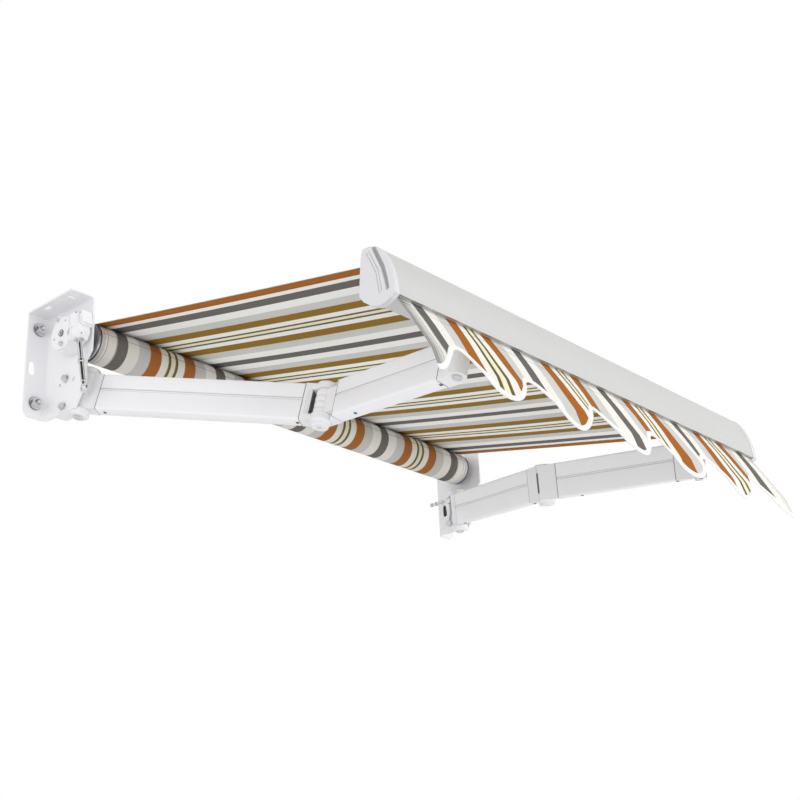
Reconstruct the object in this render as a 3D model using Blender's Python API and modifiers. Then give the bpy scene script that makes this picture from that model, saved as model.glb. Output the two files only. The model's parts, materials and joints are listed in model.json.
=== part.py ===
"""Retractable folding-arm awning: two wall brackets, fabric roller with a worm gearbox and crank,
two folding arms, front bar, striped canopy and scalloped valance. Metres, Z up, front towards -Y.
The origin lies on the wall plane, midway between the brackets at half their height."""
from math import atan2, cos, degrees, hypot, pi, radians, sin, tan

import bmesh
import bpy
from mathutils import Matrix, Vector

# Driving dimensions of the canopy
FABRIC_WIDTH = 1.100
CLOTH = 0.0008
TANGENT = (-0.1001, 0.0751)

# Driving dimensions of the roller
ROLL_RADIUS = 0.0384
ROLL_STEP = 0.0006
TUBE_RADIUS = 0.0350
TUBE_WALL = 0.0015
TUBE_OVERHANG = 0.0060
TUBE_HALF = FABRIC_WIDTH / 2 + TUBE_OVERHANG

# Driving dimensions of the wall brackets
END_ROOM = 0.0240
SIDE_INNER = TUBE_HALF + END_ROOM
SHEET = 0.0040
SIDE_OUTER = SIDE_INNER + SHEET
FLANGE = 0.0545
FLANGE_OUTER = SIDE_INNER + FLANGE
BRACKET_TOP = 0.1100
BRACKET_BOTTOM = -0.1087
BRACKET_DEPTH = 0.1435
BEND = 0.0100
ANCHOR_INSET = 0.0247
ANCHOR_X = FLANGE_OUTER - ANCHOR_INSET
ANCHOR_HEIGHTS = (0.0773, -0.0784)

# Driving dimensions of the folding arms
SHOULDER_INSET = 0.0250
SHOULDER = (SIDE_INNER - SHOULDER_INSET, -0.0889, -0.0665)
ARM_PITCH = radians(6.57)
ARM_LEAN = radians(11.03)
UPPER_LENGTH = 0.4856
FOREARM_LENGTH = 0.3520
UPPER_ANGLE = radians(27.68)
FOREARM_ANGLE = radians(5.86)
ARM_HALF_HEIGHT = 0.0372
ARM_OUTBOARD = -0.0090
ARM_INBOARD = 0.0210
ARM_WALL = 0.0022
ROOT_REACH = 0.0340
ELBOW_REACH = 0.0400
WRIST_REACH = 0.0400
SPIGOT = 0.0300

# Driving dimensions of the joints of the arms
PIN_RADIUS = 0.0050
EAR_RADIUS = 0.0200
EAR_THICKNESS = 0.0150
MIDDLE_HALF = 0.0250
DRUM_RADIUS = 0.0165
LOBE = 0.0015
LOBES = 4
EYE_RADIUS = 0.0160

# Driving dimensions of the front bar and valance
BAR_HALF = FABRIC_WIDTH / 2
CAP_THICKNESS = 0.0125
VALANCE_DEEP = 0.1720
VALANCE_SHALLOW = 0.0960
SCALLOPS = 6
BINDING = 0.0100
BINDING_THICKNESS = 0.0024

# Driving dimensions of the gearbox and crank
WHEEL_OFFSET = 0.0220
GEARBOX_X = SIDE_OUTER + WHEEL_OFFSET
GEARBOX_RADIUS = 0.0360
WHEEL_HALF = 0.0070
COVER_THICKNESS = 0.0040
COVER_ROOM = 0.0010
GEARBOX_OUTER = GEARBOX_X + WHEEL_HALF + COVER_ROOM + COVER_THICKNESS
WORM_OFFSET = 0.0358
WORM_TILT = radians(11.95)
WORM_RADIUS = 0.0085
WHEEL_RADIUS = 0.0265
WHEEL_TEETH = 24
ROD_RADIUS = 0.0048
ROD_LENGTH = 0.1050
EYE_RING = 0.0100

# Clearances shared by all pieces
GAP = 0.0003
RUN = 0.0006
SLIT = 0.0015
BIG = 0.05
FAR = 0.2
LEFT = -1
RIGHT = 1
SIDES = {LEFT: "left", RIGHT: "right"}

for item in list(bpy.data.objects):
    bpy.data.objects.remove(item)

parts = bpy.data.collections.new("retractable_awning")
cutters = bpy.data.collections.new("cutters")
bpy.context.scene.collection.children.link(parts)
bpy.context.scene.collection.children.link(cutters)


def paint(name, colour, metallic, roughness):
    """Material with one plain Principled shader."""
    material = bpy.data.materials.new(name)
    material.use_nodes = True
    shader = material.node_tree.nodes["Principled BSDF"]
    shader.inputs["Base Color"].default_value = (*colour, 1)
    shader.inputs["Metallic"].default_value = metallic
    shader.inputs["Roughness"].default_value = roughness
    material.diffuse_color = (*colour, 1)
    return material


PAINTS = {
    "coated_plate": ((0.80, 0.80, 0.84), 0.0, 0.45),
    "cast_coat": ((0.76, 0.76, 0.81), 0.0, 0.50),
    "arm_coat": ((0.78, 0.78, 0.84), 0.0, 0.38),
    "bar_coat": ((0.72, 0.72, 0.72), 0.0, 0.35),
    "zinc_steel": ((0.55, 0.55, 0.57), 1.0, 0.35),
    "chrome_steel": ((0.75, 0.75, 0.77), 1.0, 0.12),
    "cap_plastic": ((0.70, 0.70, 0.72), 0.0, 0.45),
    "striped_cloth": ((0.80, 0.70, 0.55), 0.0, 0.85),
    "binding_tape": ((0.85, 0.85, 0.83), 0.0, 0.80),
    "gear_bronze": ((0.55, 0.38, 0.16), 1.0, 0.40),
}


def frame(name, matrix, parent=None):
    """Empty that carries pieces; its local matrix is given."""
    holder = bpy.data.objects.new(name, None)
    parts.objects.link(holder)
    holder.parent = parent
    holder.matrix_local = matrix
    return holder


def to_object(name, mesh, collection):
    shape = bpy.data.objects.new(name, mesh)
    collection.objects.link(shape)
    return shape


def finish(name, shape, slot, parent=None, smooth=None):
    """Name a piece, give it its own material, hang it in its frame and shade it."""
    shape.name = name
    shape.data.name = name
    shape.data.materials.clear()
    shape.data.materials.append(paint(f"{name}.{slot}", *PAINTS[slot]))
    shape.parent = parent
    for polygon in shape.data.polygons:
        polygon.use_smooth = smooth is not None
    if smooth is not None:
        shape.data.set_sharp_from_angle(angle=smooth)
    return shape


AXES = {
    "Z": Matrix.Identity(4),
    "Y": Matrix.Rotation(pi / 2, 4, "X"),
    "X": Matrix(((0, 0, 1, 0), (1, 0, 0, 0), (0, 1, 0, 0), (0, 0, 0, 1))),
}


def prism(outlines, low, high, axis="Z", matrix=None):
    """Flat outlines, holes included, filled and extruded along an axis between two stations."""
    if axis == "Y":
        low, high = -high, -low
    curve = bpy.data.curves.new("outline", "CURVE")
    curve.dimensions = "2D"
    curve.fill_mode = "BOTH"
    curve.extrude = (high - low) / 2
    for outline in outlines:
        spline = curve.splines.new("POLY")
        spline.points.add(len(outline) - 1)
        for point, place in zip(spline.points, outline):
            point.co = (*place, 0, 1)
        spline.use_cyclic_u = True
    return settle(curve, AXES[axis] @ Matrix.Translation((0, 0, (low + high) / 2)), matrix)


def settle(curve, local, matrix=None):
    """Turn a curve into a welded mesh object in the part collection."""
    shape = bpy.data.objects.new("curve", curve)
    bpy.context.scene.collection.objects.link(shape)
    depsgraph = bpy.context.evaluated_depsgraph_get()
    mesh = bpy.data.meshes.new_from_object(shape.evaluated_get(depsgraph))
    bpy.data.objects.remove(shape)
    mesh.transform((matrix or Matrix.Identity(4)) @ local)
    weld(mesh)
    return to_object("shape", mesh, parts)


def weld(mesh):
    work = bmesh.new()
    work.from_mesh(mesh)
    bmesh.ops.remove_doubles(work, verts=work.verts, dist=1e-6)
    bmesh.ops.dissolve_degenerate(work, dist=1e-7, edges=work.edges)
    bmesh.ops.recalc_face_normals(work, faces=work.faces)
    work.to_mesh(mesh)
    work.free()


def box(low, high, matrix=None):
    """Rectangular block between two corners."""
    work = bmesh.new()
    bmesh.ops.create_cube(work, size=1)
    size = Vector(high) - Vector(low)
    bmesh.ops.scale(work, vec=size, verts=work.verts)
    bmesh.ops.translate(work, vec=(Vector(high) + Vector(low)) / 2, verts=work.verts)
    mesh = bpy.data.meshes.new("box")
    work.to_mesh(mesh)
    work.free()
    if matrix:
        mesh.transform(matrix)
    return to_object("shape", mesh, parts)


def rod(radius, low, high, axis="Z", segments=32, matrix=None, top=None):
    """Round or polygonal bar between two stations of an axis."""
    work = bmesh.new()
    top = radius if top is None else top
    bmesh.ops.create_cone(work, cap_ends=True, segments=segments, radius1=radius, radius2=top,
                          depth=high - low)
    bmesh.ops.translate(work, vec=(0, 0, (low + high) / 2), verts=work.verts)
    mesh = bpy.data.meshes.new("rod")
    work.to_mesh(mesh)
    work.free()
    turn = {"Z": AXES["Z"], "X": AXES["X"], "Y": Matrix.Rotation(-pi / 2, 4, "X")}[axis]
    mesh.transform((matrix or Matrix.Identity(4)) @ turn)
    return to_object("shape", mesh, parts)


def turned(profile, axis="Z", steps=32, matrix=None):
    """Closed profile of radius and height, listed from the top down, turned round an axis."""
    mesh = bpy.data.meshes.new("turned")
    points = [(radius, 0, height) for radius, height in profile]
    edges = [(index, index + 1) for index in range(len(points) - 1)]
    if profile[0][0] > 0:
        edges.append((len(points) - 1, 0))
    mesh.from_pydata(points, edges, [])
    shape = to_object("shape", mesh, parts)
    screw = shape.modifiers.new("Screw", "SCREW")
    screw.axis = "Z"
    screw.steps = steps
    screw.render_steps = steps
    screw.use_merge_vertices = True
    screw.merge_threshold = 1e-5
    screw.use_smooth_shade = True
    apply(shape)
    turn = {"Z": AXES["Z"], "X": AXES["X"], "Y": Matrix.Rotation(-pi / 2, 4, "X")}[axis]
    shape.data.transform((matrix or Matrix.Identity(4)) @ turn)
    weld(shape.data)
    return shape


def apply(shape):
    """Fix the modifiers of a shape into its mesh."""
    depsgraph = bpy.context.evaluated_depsgraph_get()
    mesh = bpy.data.meshes.new_from_object(shape.evaluated_get(depsgraph))
    shape.modifiers.clear()
    shape.data = mesh
    return shape


def combine(shape, others, operation):
    """Boolean of one shape with several, which are then put away."""
    for other in others:
        step = shape.modifiers.new(operation.title(), "BOOLEAN")
        step.operation = operation
        step.solver = "EXACT"
        step.object = other
        apply(shape)
        bpy.data.objects.remove(other)
    weld(shape.data)
    return shape


def cut(shape, *others):
    return combine(shape, others, "DIFFERENCE")


def join(shape, *others):
    return combine(shape, others, "UNION")


def common(shape, *others):
    return combine(shape, others, "INTERSECT")


def arc(centre, radius, start, end, count):
    """Points on an arc, angles in degrees."""
    turns = [radians(start + (end - start) * index / count) for index in range(count + 1)]
    return [(centre[0] + radius * cos(turn), centre[1] + radius * sin(turn)) for turn in turns]


def slot(centre, half_length, radius, vertical=False, count=8):
    """Rounded slot outline."""
    if vertical:
        upper = arc((centre[0], centre[1] + half_length), radius, 0, 180, count)
        lower = arc((centre[0], centre[1] - half_length), radius, 180, 360, count)
        return upper + lower
    right = arc((centre[0] + half_length, centre[1]), radius, -90, 90, count)
    left = arc((centre[0] - half_length, centre[1]), radius, 90, 270, count)
    return right + left


def tube_along(points, radius, cyclic=False, resolution=2, matrix=None):
    """Round wire along given points, ends capped."""
    curve = bpy.data.curves.new("wire", "CURVE")
    curve.dimensions = "3D"
    curve.bevel_depth = radius
    curve.bevel_resolution = resolution
    curve.use_fill_caps = not cyclic
    spline = curve.splines.new("POLY")
    spline.points.add(len(points) - 1)
    for point, place in zip(spline.points, points):
        point.co = (*place, 1)
    spline.use_cyclic_u = cyclic
    return settle(curve, Matrix.Identity(4), matrix)


# Frames of the arms, from each shoulder to the wrist under the bar
shoulder_frames = {}
upper_frames = {}
elbow_frames = {}
wrist_frames = {}
PLANE_TURN = {}
WRIST_PLACE = {}
for side in SIDES:
    label = SIDES[side]
    place = Vector((side * SHOULDER[0], SHOULDER[1], SHOULDER[2]))
    plane = Matrix.Rotation(ARM_PITCH, 4, "X") @ Matrix.Rotation(-side * ARM_LEAN, 4, "Y")
    PLANE_TURN[side] = Matrix.Translation(place) @ plane
    shoulder_frames[side] = frame(f"{label}_shoulder_axis", PLANE_TURN[side])
    upper_turn = Matrix.Rotation(-side * UPPER_ANGLE, 4, "Z")
    upper_frames[side] = frame(f"{label}_upper_arm_axis", upper_turn, shoulder_frames[side])
    elbow_turn = Matrix.Rotation(side * (FOREARM_ANGLE + UPPER_ANGLE), 4, "Z")
    elbow_place = Matrix.Translation((0, -UPPER_LENGTH, 0)) @ elbow_turn
    elbow_frames[side] = frame(f"{label}_elbow_axis", elbow_place, upper_frames[side])
    wrist_turn = Matrix.Rotation(-side * FOREARM_ANGLE, 4, "Z")
    wrist_place = Matrix.Translation((0, -FOREARM_LENGTH, 0)) @ wrist_turn
    wrist_frames[side] = frame(f"{label}_wrist_axis", wrist_place, elbow_frames[side])
    WRIST_PLACE[side] = PLANE_TURN[side] @ upper_turn @ elbow_place @ wrist_place

WRIST = WRIST_PLACE[LEFT].translation


def from_wrist(points):
    """Points given as distances from the wrist along Y and Z."""
    return [(WRIST.y + y, WRIST.z + z) for y, z in points]


# Canopy line from the roller to its seat on the bar, and frames of the roller and worm
CANOPY_SEAT = from_wrist([(0.0369, 0.1139)])[0]
CANOPY_RUN = Vector((0, CANOPY_SEAT[0] - TANGENT[0], CANOPY_SEAT[1] - TANGENT[1]))
CANOPY_LENGTH = CANOPY_RUN.length
FALL = CANOPY_RUN.normalized()
NORMAL = Vector((0, -FALL.z, FALL.y))
FABRIC_PITCH = atan2(NORMAL.y, -NORMAL.z)
LEAVE = Vector((0, *TANGENT))
ROLLER_AXIS = LEAVE + NORMAL * ROLL_RADIUS
roller_frame = frame("roller_axis", Matrix.Translation(ROLLER_AXIS))
WORM_SIDE = Vector((0, -cos(WORM_TILT), sin(WORM_TILT)))
WORM_CENTRE = Vector((-GEARBOX_X, ROLLER_AXIS.y, ROLLER_AXIS.z)) + WORM_SIDE * WORM_OFFSET
worm_frame = frame("worm_axis", Matrix.Translation(WORM_CENTRE) @ Matrix.Rotation(-WORM_TILT, 4, "X"))


def span(side, inner, outer):
    """Ordered pair of x stations for a piece on one side."""
    return (side * outer, side * inner) if side < 0 else (inner, outer)


# Wall brackets: folded sheet with a wall plate, a side plate and a top flange
FRONT_NOTCH = [(-BRACKET_DEPTH, -0.0030), (-0.1275, -0.0205), (-0.1290, -0.0700), (-0.1160, -0.0833),
               (-0.0983, BRACKET_BOTTOM)]
CORNER_CUT = (0.0095, 0.0115)
PLATE_BOLTS = ((-0.0650, -0.0385), (-0.0610, -0.0950))
PLATE_BOLT_HOLE = 0.0046
GEAR_HOLE = 0.0130
ANCHOR_HOLE = 0.0065
OVAL_SLOT = ((FLANGE_OUTER - 0.0135, -0.0073), 0.0080, 0.0064)
REAR_SLOT = ((FLANGE_OUTER - 0.0140, -0.0460), 0.0065, 0.0038)
FRONT_SLOT = ((FLANGE_OUTER - 0.0205, -0.1150), 0.0055, 0.0034)
SIDE_SLOTS = ((-0.0900, -0.0470, 35), (-0.0470, -0.0470, -40))


def bracket_body(side, inset, radius):
    """Rounded corner block whose faces lie a sheet's thickness inside when inset."""
    inner = side * (SIDE_INNER + inset)
    outer = side * (FLANGE_OUTER + (BIG if inset else 0))
    turn = [180, 90] if side > 0 else [0, 90]
    corner = (inner + side * radius, -inset - radius)
    plan = arc(corner, radius, *turn, 5)
    front = -BRACKET_DEPTH - (BIG if inset else 0)
    plan = [(inner, front)] + plan + [(outer, -inset), (outer, front)]
    bottom = BRACKET_BOTTOM - (BIG if inset else 0)
    upright = prism([plan], bottom, BRACKET_TOP - inset)
    corner = (inner + side * radius, BRACKET_TOP - inset - radius)
    face = [(inner, bottom)] + arc(corner, radius, *turn, 5)
    face += [(outer, BRACKET_TOP - inset), (outer, bottom)]
    flat = prism([face], front, -inset, "Y")
    return common(upright, flat)


for side in SIDES:
    label = SIDES[side]
    bracket = bracket_body(side, 0, BEND)
    inside = bracket_body(side, SHEET, BEND - SHEET)
    notch = prism([[(-FAR, FRONT_NOTCH[0][1])] + FRONT_NOTCH + [(FRONT_NOTCH[-1][0], -FAR), (-FAR, -FAR)]],
                  *span(side, SIDE_INNER - BIG, FLANGE_OUTER + BIG), "X")
    chamfer = prism([[(side * (FLANGE_OUTER - CORNER_CUT[0]), BRACKET_BOTTOM - BIG),
                      (side * (FLANGE_OUTER - CORNER_CUT[0]), BRACKET_BOTTOM),
                      (side * FLANGE_OUTER, BRACKET_BOTTOM + CORNER_CUT[1]),
                      (side * (FLANGE_OUTER + BIG), BRACKET_BOTTOM + CORNER_CUT[1]),
                      (side * (FLANGE_OUTER + BIG), BRACKET_BOTTOM - BIG)]], -BIG, BIG, "Y")
    tools = [inside, notch, chamfer]
    oval = slot((side * OVAL_SLOT[0][0], OVAL_SLOT[0][1]), OVAL_SLOT[1], OVAL_SLOT[2], True)
    tools.append(prism([oval], -BIG, BIG, "Y"))
    for height in ANCHOR_HEIGHTS:
        tools.append(rod(ANCHOR_HOLE, -BIG, BIG, "Y",
                         matrix=Matrix.Translation((side * ANCHOR_X, 0, height))))
    for ((x, y), half, radius), upright in ((REAR_SLOT, True), (FRONT_SLOT, False)):
        outline = slot((side * x, y), half, radius, upright)
        tools.append(prism([outline], BRACKET_TOP - BIG / 2, BRACKET_TOP + BIG))
    for y, z in PLATE_BOLTS:
        tools.append(rod(PLATE_BOLT_HOLE, *span(side, SIDE_INNER - BEND, SIDE_OUTER + BEND), "X",
                         24, Matrix.Translation((0, y, z))))
    tools.append(rod(GEAR_HOLE, *span(side, SIDE_INNER - BEND, SIDE_OUTER + BEND), "X",
                     matrix=Matrix.Translation((0, ROLLER_AXIS.y, ROLLER_AXIS.z))))
    for y, z, tilt in SIDE_SLOTS:
        shape = slot((0, 0), 0.0028, 0.0020, True, 6)
        turn = Matrix.Translation((0, y, z)) @ Matrix.Rotation(radians(tilt), 4, "X")
        tools.append(prism([shape], *span(side, SIDE_INNER - BEND, SIDE_OUTER + BEND), "X", turn))
    cut(bracket, *tools)
    finish(f"{label}_wall_bracket", bracket, "coated_plate", smooth=radians(32))

# Wall anchors: stud, and hexagon nut with a washer collar
STUD_RADIUS = 0.0050
STUD_LENGTH = 0.0235
NUT_FLATS = 0.0095
NUT_TOP = 0.0170
WASHER_RADIUS = 0.0135
WASHER = 0.0025
for side in SIDES:
    for row, height in zip(("upper", "lower"), ANCHOR_HEIGHTS):
        place = Matrix.Translation((side * ANCHOR_X, 0, height))
        profile = [(0, -0.0002), (STUD_RADIUS, -0.0002), (STUD_RADIUS, 0.0012 - STUD_LENGTH),
                   (STUD_RADIUS - 0.0012, -STUD_LENGTH), (0, -STUD_LENGTH)]
        stud = turned(profile, "Y", 24, place)
        finish(f"{SIDES[side]}_{row}_anchor_stud", stud, "zinc_steel", smooth=radians(40))
        back = -SHEET - GAP
        nut = rod(NUT_FLATS, back - NUT_TOP + SHEET, back - 0.001, "Y", 6, place)
        collar = rod(WASHER_RADIUS, back - WASHER, back, "Y", 32, place)
        join(nut, collar)
        cut(nut, rod(STUD_RADIUS + GAP, -BIG, BIG, "Y", 24, place))
        finish(f"{SIDES[side]}_{row}_anchor_nut", nut, "zinc_steel", smooth=radians(30))

# Gearbox on the left side plate: housing, cover, worm wheel on its shaft, worm
AXIS_PLACE = Matrix.Translation((0, ROLLER_AXIS.y, ROLLER_AXIS.z))
HOUSING_OUTER = GEARBOX_OUTER - COVER_THICKNESS - GAP
TUNNEL_RADIUS = 0.0150
TUNNEL_TOP = 0.0210
WORM_TOP = 0.0150
FOOT_RADIUS = 0.0195
FOOT_CENTRE = -0.0160
BODY_LOW = (-0.0055, -0.0225, -0.0100)
BODY_HIGH = (0.0160, 0.0080, 0.0190)
RIB_WIDTH = 0.0030
RIB_RISE = 0.0005
SHAFT_RADIUS = 0.0100
WORM_PLACE = worm_frame.matrix_local
housing = rod(GEARBOX_RADIUS, *span(LEFT, SIDE_OUTER + GAP, HOUSING_OUTER), "X", 48, AXIS_PLACE)
FOOT_PLACE = WORM_PLACE @ Matrix.Translation((0, 0, FOOT_CENTRE))
tunnel = rod(TUNNEL_RADIUS, -0.0290, TUNNEL_TOP, "Z", 32, WORM_PLACE)
octagon = prism([arc((0, 0), FOOT_RADIUS, 22.5, 337.5, 7)], -0.0135, 0.0130, "X", FOOT_PLACE)
body = box(BODY_LOW, BODY_HIGH, WORM_PLACE)
ribs = [box((BODY_LOW[0] - RIB_RISE, y, BODY_LOW[2] + RIB_WIDTH),
            (BODY_HIGH[0] - RIB_RISE, y + RIB_WIDTH, BODY_HIGH[2] + RIB_RISE), WORM_PLACE)
        for y in (BODY_LOW[1] - RIB_WIDTH, BODY_LOW[1] + RIB_WIDTH, BODY_LOW[1] + 3 * RIB_WIDTH)]
GEAR_BOLTS = ((0.0137, 0.0330), (-0.0019, -0.0225))
EAR = 0.0085
ear_place = AXIS_PLACE @ Matrix.Translation((0, *GEAR_BOLTS[0]))
ear = rod(EAR, *span(LEFT, SIDE_OUTER + GAP, HOUSING_OUTER), "X", 32, ear_place)
join(housing, ear, tunnel, octagon, body, *ribs)
cavity = rod(WHEEL_RADIUS + 2 * RUN, *span(LEFT, GEARBOX_X - WHEEL_HALF - RUN, HOUSING_OUTER + BIG),
             "X", 48, AXIS_PLACE)
bore = rod(WORM_RADIUS + RUN, -BIG, WORM_TOP + COVER_ROOM, "Z", 32, WORM_PLACE)
shaft_way = rod(SHAFT_RADIUS + RUN, *span(LEFT, SIDE_INNER, GEARBOX_X), "X", 32, AXIS_PLACE)
SCREW_HOLE = (0.0026, 0.0010, -0.0100)
face_screw = rod(SCREW_HOLE[0], -TUNNEL_RADIUS - BIG, SCREW_HOLE[1] - 0.0135, "X", 16,
                 WORM_PLACE @ Matrix.Translation((0, 0, SCREW_HOLE[2])))
cut(housing, cavity, bore, shaft_way, face_screw)
finish("gearbox_housing", housing, "cast_coat", smooth=radians(30))

COVER_INNER = GEARBOX_OUTER - COVER_THICKNESS
COVER_SIZE = 0.0335
cover = rod(COVER_SIZE, *span(LEFT, COVER_INNER, GEARBOX_OUTER), "X", 48, AXIS_PLACE)
ring = rod(0.0068, *span(LEFT, GEARBOX_OUTER - RUN, GEARBOX_OUTER + 0.0020), "X", 32, AXIS_PLACE)
cover_ear = rod(EAR - GAP, *span(LEFT, COVER_INNER, GEARBOX_OUTER), "X", 32, ear_place)
join(cover, ring, cover_ear)
COVER_HOLES = ((-0.0110, 0.0235), (0.0235, -0.0057))
clear_worm = rod(TUNNEL_RADIUS + GAP, -BIG, TUNNEL_TOP + GAP, "Z", 32, WORM_PLACE)
clear_foot = prism([arc((0, 0), FOOT_RADIUS + 2 * GAP, 22.5, 337.5, 7)], -BIG, BIG, "X", FOOT_PLACE)
clear_body = box((-BIG, -BIG, -BIG), (BIG, BODY_HIGH[1] + GAP, BODY_HIGH[2] + RIB_RISE + GAP), WORM_PLACE)
tools = [rod(0.0042, *span(LEFT, GEARBOX_OUTER - 0.0015, GEARBOX_OUTER + 0.01), "X", 24, AXIS_PLACE)]
for y, z in GEAR_BOLTS:
    place = AXIS_PLACE @ Matrix.Translation((0, y, z))
    tools.append(rod(0.0026, *span(LEFT, COVER_INNER - 0.01, GEARBOX_OUTER + 0.01), "X", 20, place))
for y, z in COVER_HOLES:
    place = AXIS_PLACE @ Matrix.Translation((0, y, z))
    tools.append(rod(0.0022, *span(LEFT, GEARBOX_OUTER - 0.002, GEARBOX_OUTER + 0.01), "X", 16, place))
cut(cover, clear_worm, clear_foot, clear_body, *tools)
finish("gearbox_cover", cover, "cast_coat", smooth=radians(30))

for name, (y, z) in zip(("upper", "lower"), GEAR_BOLTS):
    place = AXIS_PLACE @ Matrix.Translation((0, y, z))
    head = rod(0.0050, *span(LEFT, GEARBOX_OUTER + GAP, GEARBOX_OUTER + 0.0045), "X", 6, place)
    shank = rod(0.0023, *span(LEFT, COVER_INNER + GAP, GEARBOX_OUTER + 0.001), "X", 16, place)
    finish(f"gearbox_{name}_bolt", join(head, shank), "zinc_steel", smooth=radians(30))

ROOT_RADIUS = WHEEL_RADIUS - 0.0022
teeth = []
for index in range(4 * WHEEL_TEETH):
    turn = 2 * pi * (index + 0.5) / (4 * WHEEL_TEETH)
    radius = WHEEL_RADIUS if index % 4 in (0, 1) else ROOT_RADIUS
    teeth.append((radius * cos(turn), radius * sin(turn)))
wheel = prism([teeth, arc((0, 0), SHAFT_RADIUS + GAP, 0, 348.75, 31)],
              *span(LEFT, GEARBOX_X - WHEEL_HALF, GEARBOX_X + WHEEL_HALF), "X")
finish("worm_wheel", wheel, "gear_bronze", roller_frame, radians(20))
shaft = rod(SHAFT_RADIUS, *span(LEFT, TUBE_HALF - 0.0200, GEARBOX_X + WHEEL_HALF), "X", 32)
finish("drive_shaft", shaft, "zinc_steel", roller_frame, radians(30))

# Worm with raised rings, sleeve at the foot that takes the crank rod
NECK = 0.0062
profile = [(0, WORM_TOP), (NECK, WORM_TOP), (NECK, 0.0120)]
THREADS = 5
THREAD_PITCH = 0.0045
for index in range(THREADS):
    top = 0.0108 - index * THREAD_PITCH
    profile += [(WORM_RADIUS, top), (WORM_RADIUS, top - 0.0018), (NECK, top - 0.0030)]
SLEEVE_FOOT = -0.0340
SLEEVE_DEPTH = 0.0150
profile += [(NECK, -0.0130), (WORM_RADIUS, -0.0140), (WORM_RADIUS, SLEEVE_FOOT),
            (ROD_RADIUS + GAP, SLEEVE_FOOT), (ROD_RADIUS + GAP, SLEEVE_FOOT + SLEEVE_DEPTH),
            (0, SLEEVE_FOOT + SLEEVE_DEPTH)]
finish("worm_shaft", turned(profile, steps=24), "zinc_steel", worm_frame, radians(35))

ROD_TOP = SLEEVE_FOOT + SLEEVE_DEPTH - GAP
ROD_FOOT = SLEEVE_FOOT - ROD_LENGTH + 0.012
COLLAR = (SLEEVE_FOOT + ROD_FOOT) / 2
profile = [(0, ROD_TOP), (ROD_RADIUS, ROD_TOP), (ROD_RADIUS, COLLAR + 0.0035), (0.0066, COLLAR + 0.0025),
           (0.0066, COLLAR - 0.0025), (ROD_RADIUS, COLLAR - 0.0035), (ROD_RADIUS, ROD_FOOT + 0.001),
           (ROD_RADIUS - 0.001, ROD_FOOT), (0, ROD_FOOT)]
finish("crank_rod", turned(profile, steps=24), "chrome_steel", worm_frame, radians(35))

# Eye at the foot of the crank rod, where the winding handle hooks in
EYE_WIRE = 0.0025
eye_centre = (0, 0, ROD_FOOT - GAP - 0.004 - EYE_RING)
loop = [(eye_centre[0], eye_centre[1] + (EYE_RING - EYE_WIRE) * cos(2 * pi * index / 24),
         eye_centre[2] + (EYE_RING - EYE_WIRE) * sin(2 * pi * index / 24)) for index in range(24)]
eye = tube_along(loop, EYE_WIRE, cyclic=True)
stem = rod(0.0042, eye_centre[2] + EYE_RING - EYE_WIRE - 0.001, ROD_FOOT - GAP, "Z", 24)
finish("crank_eye", join(eye, stem), "chrome_steel", worm_frame, radians(35))

# Roller: tube, wound cloth in one solid, end plugs and right bearing
BEARING_WIDTH = 0.0062
BEARING_RADIUS = 0.0240
HUB_GAP = 0.0008
PLUG_DEPTH = 0.0180
PLUG_RIM_WIDTH = 0.0045
RIGHT_PIN = 0.0058
RIGHT_PIN_DEPTH = 0.0100
tube = prism([arc((0, 0), TUBE_RADIUS, 0, 352.5, 47), arc((0, 0), TUBE_RADIUS - TUBE_WALL, 0, 352.5, 47)],
             -TUBE_HALF, TUBE_HALF, "X")
finish("roller_tube", tube, "zinc_steel", roller_frame, radians(20))
SPIRAL_STEPS = 64
LEAVE_TURN = 90 + degrees(FABRIC_PITCH)
spiral = []
for index in range(SPIRAL_STEPS + 1):
    share = index / SPIRAL_STEPS
    turn = radians(LEAVE_TURN + 360 * share)
    radius = ROLL_RADIUS - ROLL_STEP * (1 - share)
    spiral.append((radius * cos(turn), radius * sin(turn)))
roll = prism([spiral, arc((0, 0), TUBE_RADIUS + GAP, 0, 352.5, 47)], -BAR_HALF, BAR_HALF, "X")
finish("fabric_roll", roll, "striped_cloth", roller_frame, radians(20))
PLUG_RIM = 0.0366
for side in SIDES:
    rim = rod(PLUG_RIM, *span(side, TUBE_HALF + GAP, TUBE_HALF + PLUG_RIM_WIDTH), "X", 48)
    core = rod(TUBE_RADIUS - TUBE_WALL - GAP, *span(side, TUBE_HALF - PLUG_DEPTH, TUBE_HALF + 0.001), "X", 48)
    hub = rod(0.0165, *span(side, TUBE_HALF + 0.001, SIDE_INNER - BEARING_WIDTH - HUB_GAP), "X", 32)
    plug = join(rim, core, hub)
    if side == LEFT:
        cut(plug, rod(SHAFT_RADIUS + GAP, -1, 1, "X", 32))
    else:
        cut(plug, rod(RIGHT_PIN + GAP, *span(side, TUBE_HALF - RIGHT_PIN_DEPTH - 0.002, SIDE_INNER), "X", 24))
    finish(f"{SIDES[side]}_roller_plug", plug, "cap_plastic", roller_frame, radians(30))
bearing = rod(BEARING_RADIUS, *span(RIGHT, SIDE_INNER - BEARING_WIDTH, SIDE_INNER - GAP), "X", 32)
pin = rod(RIGHT_PIN, *span(RIGHT, TUBE_HALF - RIGHT_PIN_DEPTH, SIDE_INNER - 0.001), "X", 24)
boss = rod(GEAR_HOLE - GAP, *span(RIGHT, SIDE_INNER - 0.001, SIDE_OUTER + 0.0035), "X", 32)
bearing = join(bearing, pin, boss)
bearing.data.transform(AXIS_PLACE)
finish("right_roller_bearing", bearing, "zinc_steel", smooth=radians(30))
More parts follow.
